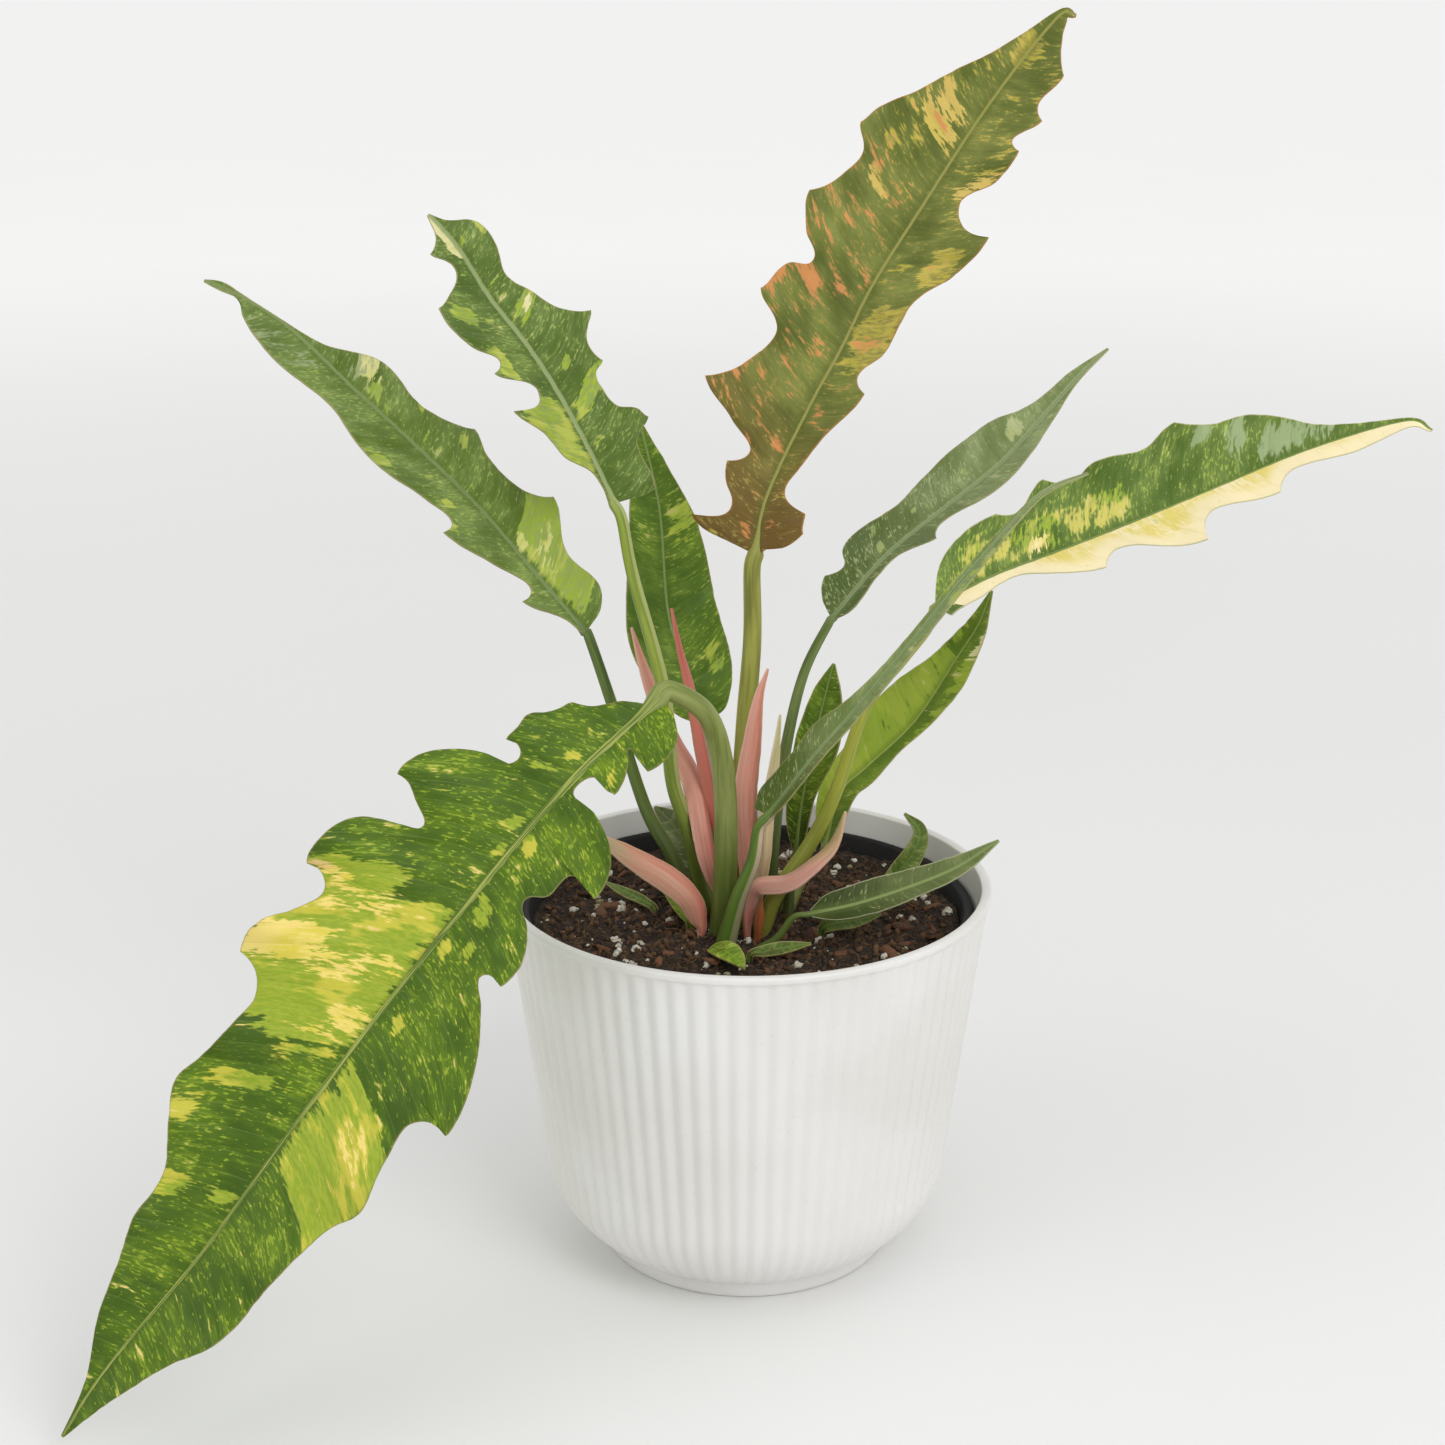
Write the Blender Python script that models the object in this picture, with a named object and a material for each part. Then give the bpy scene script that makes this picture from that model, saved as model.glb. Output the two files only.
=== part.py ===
"""A philodendron with long, jagged, variegated leaves. It grows in soil in a thin nursery pot,
which stands inside a white fluted planter. Sizes are in millimetres until they reach a mesh."""

import math
import random

import bmesh
import bpy
import numpy as np

MM = 0.001
CLEARANCE = 0.3  # between pieces that touch in the real plant

# Planter
RIM_RADIUS = 82.5
PLANTER_HEIGHT = 130.5
WALL_TOP_RADIUS = 81.7  # under the lip
WALL_FOOT_RADIUS = 69.3  # where the wall turns in towards the foot
FOOT_RADIUS = 50.0
FOOT_HEIGHT = 5.4
TURN_HEIGHT = 33.2  # top of the rounded turn between wall and foot
TURN_STEPS = 4
TURN_FLATNESS = (1.33, 0.85)  # powers that flatten a quarter round into the turn's softer curve
FLOOR_HEIGHT = 10.0  # of the planter's inside
LIP_HEIGHT = 2.6
LIP_ROUND = 0.7
INNER_RIM_DEPTH = 5.0  # from the lip's top down to where the inner wall starts
PLANTER_WALL = 3.4
FLUTES = 78
FLUTE_DEPTH = 0.9
FLUTE_FADE = 1.5  # height over which the flutes run out under the lip

# Nursery pot
POT_TOP = 122.5
POT_MOUTH_RADIUS = 74.5
POT_BASE_RADIUS = 50.0
POT_WALL = 1.0
POT_LIP_WIDTH = 2.2
POT_LIP_HEIGHT = 3.5
POT_SIDES = 40

# Soil and what grows in it
SOIL_TOP = 115.5
SOIL_SIDES = 32
HOLE_DEPTH = 9.0
HOLE_SIDES = 8
PERLITE_GRAINS = 28
PERLITE_SIZES = (1.3, 2.3)  # radius
BARK_CHIPS = 12
BARK_SIZES = (4.0, 7.0)  # half length
BARK_SHAPE = (1.0, 0.55, 0.25)  # length, width and thickness beside the length
GRAIN_REACH = 64.0  # how far from the middle grains lie
GRAIN_GAP = 3.0  # from a grain to a stem
GRAIN_TILT = 0.3
SEED = 11
CROWN_PLACE = (-2, 0)
CROWN_RADIUS = 8.5
CROWN_TOP = 122.0
SMALL_ROOT_RADIUS = 1.6

# Leaves
BLADE_THICKNESS = 0.8
RIB_THICKNESS = 2.4
RIB_HALF_WIDTH = 1.5
VEIN_LEAN = 0.55  # how far a side vein runs forward for each unit that it runs out
TIP_HALF_WIDTH = 0.5
FOLD_DEGREES = 11.0  # how far each half of a blade lifts from flat
RIPPLE = 0.10  # rise and fall of the margin as a share of its distance from the rib
RIPPLE_LENGTH = 31.0

# Finishes: colour, roughness
WHITE_GLAZE = ((0.86, 0.86, 0.84), 0.35)
BLACK_PLASTIC = ((0.02, 0.02, 0.022), 0.45)
PEAT = ((0.09, 0.045, 0.028), 0.95)
LEAF_GREEN = ((0.16, 0.30, 0.05), 0.35)
LEAF_LIME = ((0.36, 0.47, 0.07), 0.35)
LEAF_GREY_GREEN = ((0.15, 0.25, 0.11), 0.40)
LEAF_BRONZE = ((0.22, 0.20, 0.06), 0.35)
STALK_GREEN = ((0.13, 0.23, 0.05), 0.40)
STALK_OLIVE = ((0.33, 0.36, 0.09), 0.40)
SHEATH_PINK = ((0.66, 0.26, 0.20), 0.45)
SHEATH_PALE = ((0.68, 0.58, 0.34), 0.45)
DRY_BROWN = ((0.42, 0.17, 0.06), 0.80)


def clear_scene():
    for old in list(bpy.data.objects):
        bpy.data.objects.remove(old)


def give_finish(piece, finish):
    """A Principled material of the piece's own."""
    colour, roughness = finish
    material = bpy.data.materials.new(piece.name)
    material.use_nodes = True
    shader = material.node_tree.nodes["Principled BSDF"]
    shader.inputs["Base Color"].default_value = (*colour, 1.0)
    shader.inputs["Roughness"].default_value = roughness
    piece.data.materials.append(material)


def add_mesh(name, points, faces, finish, sharp_degrees=40.0):
    """An object from points in millimetres."""
    mesh = bpy.data.meshes.new(name)
    mesh.from_pydata((np.asarray(points) * MM).tolist(), [], [tuple(face) for face in faces])
    bm = bmesh.new()
    bm.from_mesh(mesh)
    bmesh.ops.recalc_face_normals(bm, faces=bm.faces)
    bm.to_mesh(mesh)
    bm.free()
    mesh.shade_smooth()
    mesh.set_sharp_from_angle(angle=math.radians(sharp_degrees))
    piece = bpy.data.objects.new(name, mesh)
    bpy.context.scene.collection.objects.link(piece)
    give_finish(piece, finish)
    return piece


class TurnedShape:
    """Rings of points stacked into a closed turned shape. A ring may have half the points of the
    one before it, or twice as many."""

    def __init__(self):
        self.points = []
        self.faces = []
        self.last = None

    def centre(self, height):
        self.points.append((0.0, 0.0, height))
        self._join([len(self.points) - 1])

    def ring(self, radius, height, count, groove=0.0):
        """A ring whose every other point is drawn in by the groove."""
        first = len(self.points)
        for i in range(count):
            turn = 2 * math.pi * i / count
            reach = radius - groove * (i % 2)
            self.points.append((reach * math.cos(turn), reach * math.sin(turn), height))
        self._join(list(range(first, first + count)))

    def _join(self, ring):
        last, self.last = self.last, ring
        if last is None:
            return
        a, b = len(last), len(ring)
        if b == 1 or a == 1:
            rim, hub = (last, ring[0]) if b == 1 else (ring, last[0])
            self.faces += [(rim[i], rim[(i + 1) % len(rim)], hub) for i in range(len(rim))]
        elif a == b:
            self.faces += [(last[i], last[(i + 1) % a], ring[(i + 1) % a], ring[i]) for i in range(a)]
        else:
            coarse, fine = (last, ring) if a < b else (ring, last)
            n = len(coarse)
            for i in range(n):
                near, far = coarse[i], coarse[(i + 1) % n]
                one, two, three = (fine[(2 * i + k) % (2 * n)] for k in range(3))
                self.faces += [(near, one, two), (near, two, far), (far, two, three)]


def build_planter():
    """A flat base, a plain foot, a rounded turn, a fluted wall and a smooth lip, then the inside."""
    fine, plain, inner = 2 * FLUTES, FLUTES, FLUTES // 2
    shape = TurnedShape()
    shape.centre(0.0)
    shape.ring(FOOT_RADIUS - 1.0, 0.0, plain)
    shape.ring(FOOT_RADIUS, 0.8, plain)
    shape.ring(FOOT_RADIUS, FOOT_HEIGHT, plain)
    for step in range(TURN_STEPS + 1):
        angle = math.pi / 2 * step / TURN_STEPS
        out = math.sin(angle) ** TURN_FLATNESS[0]
        up = (1 - math.cos(angle)) ** TURN_FLATNESS[1]
        radius = FOOT_RADIUS + 0.3 + (WALL_FOOT_RADIUS - FOOT_RADIUS - 0.3) * out
        height = FOOT_HEIGHT + 0.3 + (TURN_HEIGHT - FOOT_HEIGHT - 0.3) * up
        shape.ring(radius, height, fine, FLUTE_DEPTH * min(step, 1))
    lip_foot = PLANTER_HEIGHT - LIP_HEIGHT
    shape.ring(WALL_TOP_RADIUS - 0.3, lip_foot - FLUTE_FADE, fine, FLUTE_DEPTH)
    shape.ring(WALL_TOP_RADIUS, lip_foot, fine)
    shape.ring(RIM_RADIUS, lip_foot + LIP_ROUND, plain)
    shape.ring(RIM_RADIUS, PLANTER_HEIGHT - LIP_ROUND, plain)
    shape.ring(RIM_RADIUS - LIP_ROUND, PLANTER_HEIGHT, plain)
    shape.ring(RIM_RADIUS - 2.5 * LIP_ROUND, PLANTER_HEIGHT - 0.5 * LIP_ROUND, plain)
    shape.ring(WALL_TOP_RADIUS - PLANTER_WALL, PLANTER_HEIGHT - INNER_RIM_DEPTH, inner)
    shape.ring(WALL_FOOT_RADIUS - FLUTE_DEPTH - PLANTER_WALL, TURN_HEIGHT, inner)
    halfway = 0.5 * (FOOT_RADIUS + WALL_FOOT_RADIUS) - 1.0
    shape.ring(halfway, FLOOR_HEIGHT + 0.35 * (TURN_HEIGHT - FLOOR_HEIGHT), inner)
    shape.ring(FOOT_RADIUS + 1.0, FLOOR_HEIGHT, inner)
    shape.centre(FLOOR_HEIGHT)
    add_mesh("planter", shape.points, shape.faces, WHITE_GLAZE, sharp_degrees=50.0)


def pot_inner_radius(height):
    """Radius of the nursery pot's inside, which widens evenly towards the mouth."""
    floor = FLOOR_HEIGHT + CLEARANCE + POT_WALL
    share = (height - floor) / (POT_TOP - floor)
    narrow = POT_BASE_RADIUS - POT_WALL
    return narrow + share * (POT_MOUTH_RADIUS - POT_WALL - narrow)


def build_nursery_pot():
    """A thin tapered cup with a collar round its mouth."""
    base = FLOOR_HEIGHT + CLEARANCE
    collar = POT_TOP - POT_LIP_HEIGHT
    shape = TurnedShape()
    shape.centre(base)
    shape.ring(POT_BASE_RADIUS, base, POT_SIDES)
    shape.ring(pot_inner_radius(collar) + POT_WALL, collar, POT_SIDES)
    shape.ring(POT_MOUTH_RADIUS + POT_LIP_WIDTH, collar + 0.5, POT_SIDES)
    shape.ring(POT_MOUTH_RADIUS + POT_LIP_WIDTH, POT_TOP, POT_SIDES)
    shape.ring(pot_inner_radius(POT_TOP), POT_TOP, POT_SIDES)
    shape.ring(pot_inner_radius(base + POT_WALL), base + POT_WALL, POT_SIDES)
    shape.centre(base + POT_WALL)
    add_mesh("nursery_pot", shape.points, shape.faces, BLACK_PLASTIC)


def soil_height(x, y):
    """A gently uneven surface, a little higher at the wall."""
    lumps = 0.9 * math.sin(0.11 * x + 0.7) * math.cos(0.13 * y)
    return SOIL_TOP + lumps + 1.5 * (math.hypot(x, y) / POT_MOUTH_RADIUS) ** 4


def apply_modifiers(piece):
    """Bakes the piece's modifiers into its mesh."""
    graph = bpy.context.evaluated_depsgraph_get()
    baked = bpy.data.meshes.new_from_object(piece.evaluated_get(graph))
    piece.modifiers.clear()
    old, piece.data = piece.data, baked
    bpy.data.meshes.remove(old)


def add_grains(collection, roots):
    """White perlite grains and flat chips of bark, half sunk in the soil, clear of every stem."""
    rng = random.Random(SEED)
    made = 0
    while made < PERLITE_GRAINS + BARK_CHIPS:
        reach = GRAIN_REACH * math.sqrt(rng.random())
        turn = rng.uniform(0, 2 * math.pi)
        x, y = reach * math.cos(turn), reach * math.sin(turn)
        bark = made >= PERLITE_GRAINS
        size = rng.uniform(*(BARK_SIZES if bark else PERLITE_SIZES))
        stretch = BARK_SHAPE if bark else (1.0, rng.uniform(0.7, 1.0), rng.uniform(0.7, 0.9))
        tilts = [rng.uniform(-GRAIN_TILT, GRAIN_TILT) for _ in range(2)]
        tilt = (*tilts, rng.uniform(0, math.pi))
        gap = size + GRAIN_GAP
        if any(math.hypot(x - root[0], y - root[1]) < root[2] + gap for root in roots):
            continue
        if bark:
            bpy.ops.mesh.primitive_cube_add(size=2 * size * MM)
        else:
            bpy.ops.mesh.primitive_ico_sphere_add(subdivisions=1, radius=size * MM)
        grain = bpy.context.object
        grain.name = f"grain_{made}"
        grain.location = (x * MM, y * MM, (soil_height(x, y) - 0.1 * size * stretch[2]) * MM)
        grain.rotation_euler = tilt
        grain.scale = stretch
        for other in list(grain.users_collection):
            other.objects.unlink(grain)
        collection.objects.link(grain)
        made += 1


def build_soil(roots):
    """The soil fills the nursery pot. Each stem stands in a plain round hole in it."""
    shape = TurnedShape()
    floor = FLOOR_HEIGHT + 2 * CLEARANCE + POT_WALL
    shape.centre(floor)
    shape.ring(pot_inner_radius(floor) - 1.2 * CLEARANCE, floor, SOIL_SIDES)
    edge = SOIL_TOP + 1.5
    shape.ring(pot_inner_radius(edge) - 3.0 * CLEARANCE, edge, SOIL_SIDES)
    for share, sides in ((0.82, SOIL_SIDES), (0.6, SOIL_SIDES), (0.38, SOIL_SIDES // 2)):
        shape.ring(POT_MOUTH_RADIUS * share, SOIL_TOP, sides)
    shape.centre(SOIL_TOP)
    points = [
        (x, y, soil_height(x, y) if z >= SOIL_TOP else z)
        for x, y, z in shape.points
    ]
    soil = add_mesh("soil", points, shape.faces, PEAT, sharp_degrees=30.0)

    grains = bpy.data.collections.new("grains")
    bpy.context.scene.collection.children.link(grains)
    add_grains(grains, roots)
    join = soil.modifiers.new("grains", "BOOLEAN")
    join.operation = "UNION"
    join.operand_type = "COLLECTION"
    join.collection = grains

    cutter = bmesh.new()
    for x, y, radius in roots:
        wide = (radius + 2 * CLEARANCE) / math.cos(math.pi / HOLE_SIDES) * MM
        made = bmesh.ops.create_cone(
            cutter,
            cap_ends=True,
            segments=HOLE_SIDES,
            radius1=wide,
            radius2=wide,
            depth=3 * HOLE_DEPTH * MM,
        )
        centre = (x * MM, y * MM, (SOIL_TOP + 0.5 * HOLE_DEPTH) * MM)
        bmesh.ops.translate(cutter, verts=made["verts"], vec=centre)
    mesh = bpy.data.meshes.new("stem_holes")
    cutter.to_mesh(mesh)
    cutter.free()
    holes = bpy.data.objects.new("stem_holes", mesh)
    bpy.context.scene.collection.objects.link(holes)
    cut = soil.modifiers.new("holes", "BOOLEAN")
    cut.operation = "DIFFERENCE"
    cut.object = holes
    cut.use_self = True
    apply_modifiers(soil)
    for helper in [holes, *grains.objects]:
        bpy.data.objects.remove(helper)
    bpy.data.collections.remove(grains)


def smooth_route(points, count):
    """A smooth curve through the points, at even steps of its length: places, distances, directions."""
    knots = np.asarray(points, float)
    knots = np.vstack([2 * knots[0] - knots[1], knots, 2 * knots[-1] - knots[-2]])
    t = np.linspace(0, 1, 24, endpoint=False)[:, None]
    pieces = []
    for a, b, c, d in zip(knots, knots[1:], knots[2:], knots[3:]):
        bend = (2 * a - 5 * b + 4 * c - d) * t**2 + (3 * b - a - 3 * c + d) * t**3
        pieces.append(0.5 * (2 * b + (c - a) * t + bend))
    fine = np.vstack([*pieces, knots[-2][None]])
    run = np.r_[0, np.cumsum(np.linalg.norm(np.diff(fine, axis=0), axis=1))]
    even = np.linspace(0, run[-1], count)
    places = np.stack([np.interp(even, run, fine[:, axis]) for axis in range(3)], axis=1)
    directions = np.gradient(places, axis=0)
    directions /= np.linalg.norm(directions, axis=1)[:, None]
    return places, even, directions


def margin_points(knots, origins, length):
    """Spreads a margin's knots over the stations: each knot goes to the station whose side vein
    reaches it, and the stations between two knots share the straight line between them."""
    knots = [(0.0, RIB_HALF_WIDTH), *knots, (length, TIP_HALF_WIDTH)]
    last = len(origins) - 1
    index = [0]
    for number, (along, out) in enumerate(knots[1:-1], start=1):
        wanted = round((along - VEIN_LEAN * out) / length * last)
        room = last - (len(knots) - 1 - number)
        index.append(min(max(wanted, index[-1] + 1), room))
    index.append(last)
    stations = np.arange(last + 1)
    along = np.interp(stations, index, [knot[0] for knot in knots])
    out = np.interp(stations, index, [knot[1] for knot in knots])
    return along, out


def build_blade(
    name, rib, faces, left, right, finish, stations, fold=FOLD_DEGREES, ripple=RIPPLE, ribbed=True
):
    """A leaf blade. rib is the midrib's route from base to tip, faces the way the upper side looks at
    base and tip. left and right are the margins: each knot is (distance along the rib, distance out
    from it), and left is the side on the left hand of someone who looks along the rib from above."""
    places, run, directions = smooth_route(rib, 161)
    length = run[-1]
    share = (run / length)[:, None]
    face = np.asarray(faces[0]) * (1 - share) + np.asarray(faces[1]) * share
    normals = face - (face * directions).sum(axis=1)[:, None] * directions
    normals /= np.linalg.norm(normals, axis=1)[:, None]
    sides = np.cross(directions, normals)
    origins = np.linspace(0, length, stations + 1)

    def on_leaf(along, out, lift):
        """Points by their distance along the rib, out from it and up from it."""
        inside = np.clip(along, 0, length)
        place, direction, side, normal = (
            np.stack([np.interp(inside, run, rows[:, k]) for k in range(3)], axis=-1)
            for rows in (places, directions, sides, normals)
        )
        beyond = (along - inside)[:, None]
        return place + beyond * direction + out[:, None] * side + lift[:, None] * normal

    inner = (0.0, 0.55, 1.0) if ribbed else (1.0,)
    columns = []
    for side, knots in ((-1, left), (1, right)):
        along, out = margin_points(knots, origins, length)
        group = []
        for step in inner:
            part = np.minimum(RIB_HALF_WIDTH / out, 0.35) if step == 0.0 else np.full(len(out), step)
            reach = out * part
            wave = ripple * np.sin(2 * math.pi * along / RIPPLE_LENGTH + side) * step
            lift = reach * (math.sin(math.radians(fold)) + wave)
            flat = side * reach * math.cos(math.radians(fold))
            group.append(on_leaf(origins + (along - origins) * part, flat, lift))
        columns += group[::-1] if side < 0 else [on_leaf(origins, 0 * out, 0 * out), *group]
    points = np.stack(columns, axis=1)
    width = points.shape[1]
    corners = np.arange(points.shape[0] * width).reshape(-1, width)
    a, b = corners[:-1, :-1].ravel(), corners[:-1, 1:].ravel()
    c, d = corners[1:, 1:].ravel(), corners[1:, :-1].ravel()
    lefthand = np.tile(np.arange(width - 1) < (width - 1) // 2, points.shape[0] - 1)
    triangles = np.where(
        lefthand[:, None], np.stack([a, b, d, b, c, d], axis=1), np.stack([a, b, c, a, c, d], axis=1)
    ).reshape(-1, 3)

    mesh = bpy.data.meshes.new(name)
    mesh.from_pydata((points.reshape(-1, 3) * MM).tolist(), [], triangles.tolist())
    mesh.shade_smooth()
    piece = bpy.data.objects.new(name, mesh)
    bpy.context.scene.collection.objects.link(piece)
    give_finish(piece, finish)
    midrib = piece.vertex_groups.new(name="midrib")
    midrib.add(corners[:, width // 2].tolist(), 1.0, "REPLACE")
    thicken = piece.modifiers.new("thickness", "SOLIDIFY")
    thicken.offset = 0.0
    thicken.thickness = (RIB_THICKNESS if ribbed else 1.6 * BLADE_THICKNESS) * MM
    thicken.vertex_group = midrib.name
    thicken.thickness_vertex_group = BLADE_THICKNESS * MM / thicken.thickness
    return piece


def build_stalk(name, route, girth, finish, samples=9, resolution=2):
    """A round stalk that stands upright in its hole and then follows a smooth route. girth is its
    radius at the foot and at the top."""
    places, _, _ = smooth_route(route[1:], samples - 1)
    places = np.vstack([route[0], places])
    run = np.r_[0, np.cumsum(np.linalg.norm(np.diff(places, axis=0), axis=1))]
    curve = bpy.data.curves.new(name, "CURVE")
    curve.dimensions = "3D"
    curve.fill_mode = "FULL"
    curve.bevel_depth = MM
    curve.bevel_resolution = resolution
    curve.use_fill_caps = True
    spline = curve.splines.new("POLY")
    spline.points.add(samples - 1)
    for point, place, share in zip(spline.points, places, run / run[-1]):
        point.co = (*(place * MM), 1.0)
        point.radius = girth[0] + (girth[1] - girth[0]) * share
    spline.use_smooth = True
    piece = bpy.data.objects.new(name, curve)
    bpy.context.scene.collection.objects.link(piece)
    give_finish(piece, finish)
    return piece


def foot_of(x, y):
    """The lowest points of a stem: straight down into its hole in the soil."""
    bottom = SOIL_TOP - HOLE_DEPTH + CLEARANCE
    return [(x, y, bottom), (x, y, SOIL_TOP + 1.0)]


def build_leaf(
    name, foot, way, girth, stalk_finish, blade_finish, rib, faces, left, right, stations
):
    """A stalk from the soil to the blade, and the blade. The stalk ends just short of the rib."""
    start, after = np.asarray(rib[0], float), np.asarray(rib[1], float)
    lead = (after - start) / np.linalg.norm(after - start)
    ending = [start - 6.0 * lead, start - 2 * CLEARANCE * lead]
    build_stalk(f"{name}_stalk", [*foot_of(*foot), *way, *ending], girth, stalk_finish)
    build_blade(f"{name}_blade", rib, faces, left, right, blade_finish, stations)
    return (*foot, girth[0])


def sheath_margin(length, half_width, stub, steps=5):
    """A pointed sheath's margin: a narrow stub, then widest below its middle."""
    knots = [(stub, RIB_HALF_WIDTH)] if stub else []
    for step in range(1, steps):
        share = step / steps
        swell = math.sin(math.pi * (0.15 + 0.85 * share)) ** 0.8
        knots.append((stub + share * (length - stub), half_width * swell))
    return knots


def build_sheath(name, route, face, half_width, finish, fold=-38.0, stub=0.0):
    """A pointed sheath or a small plain leaf: a narrow blade folded along its middle. A sheath folds
    back, so that it shows its ridge. stub is the length of its narrow foot in the soil."""
    _, run, _ = smooth_route(route, 61)
    margin = sheath_margin(run[-1], half_width, stub)
    build_blade(name, route, (face, face), margin, margin, finish, 8, fold, 0.0, ribbed=False)


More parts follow.
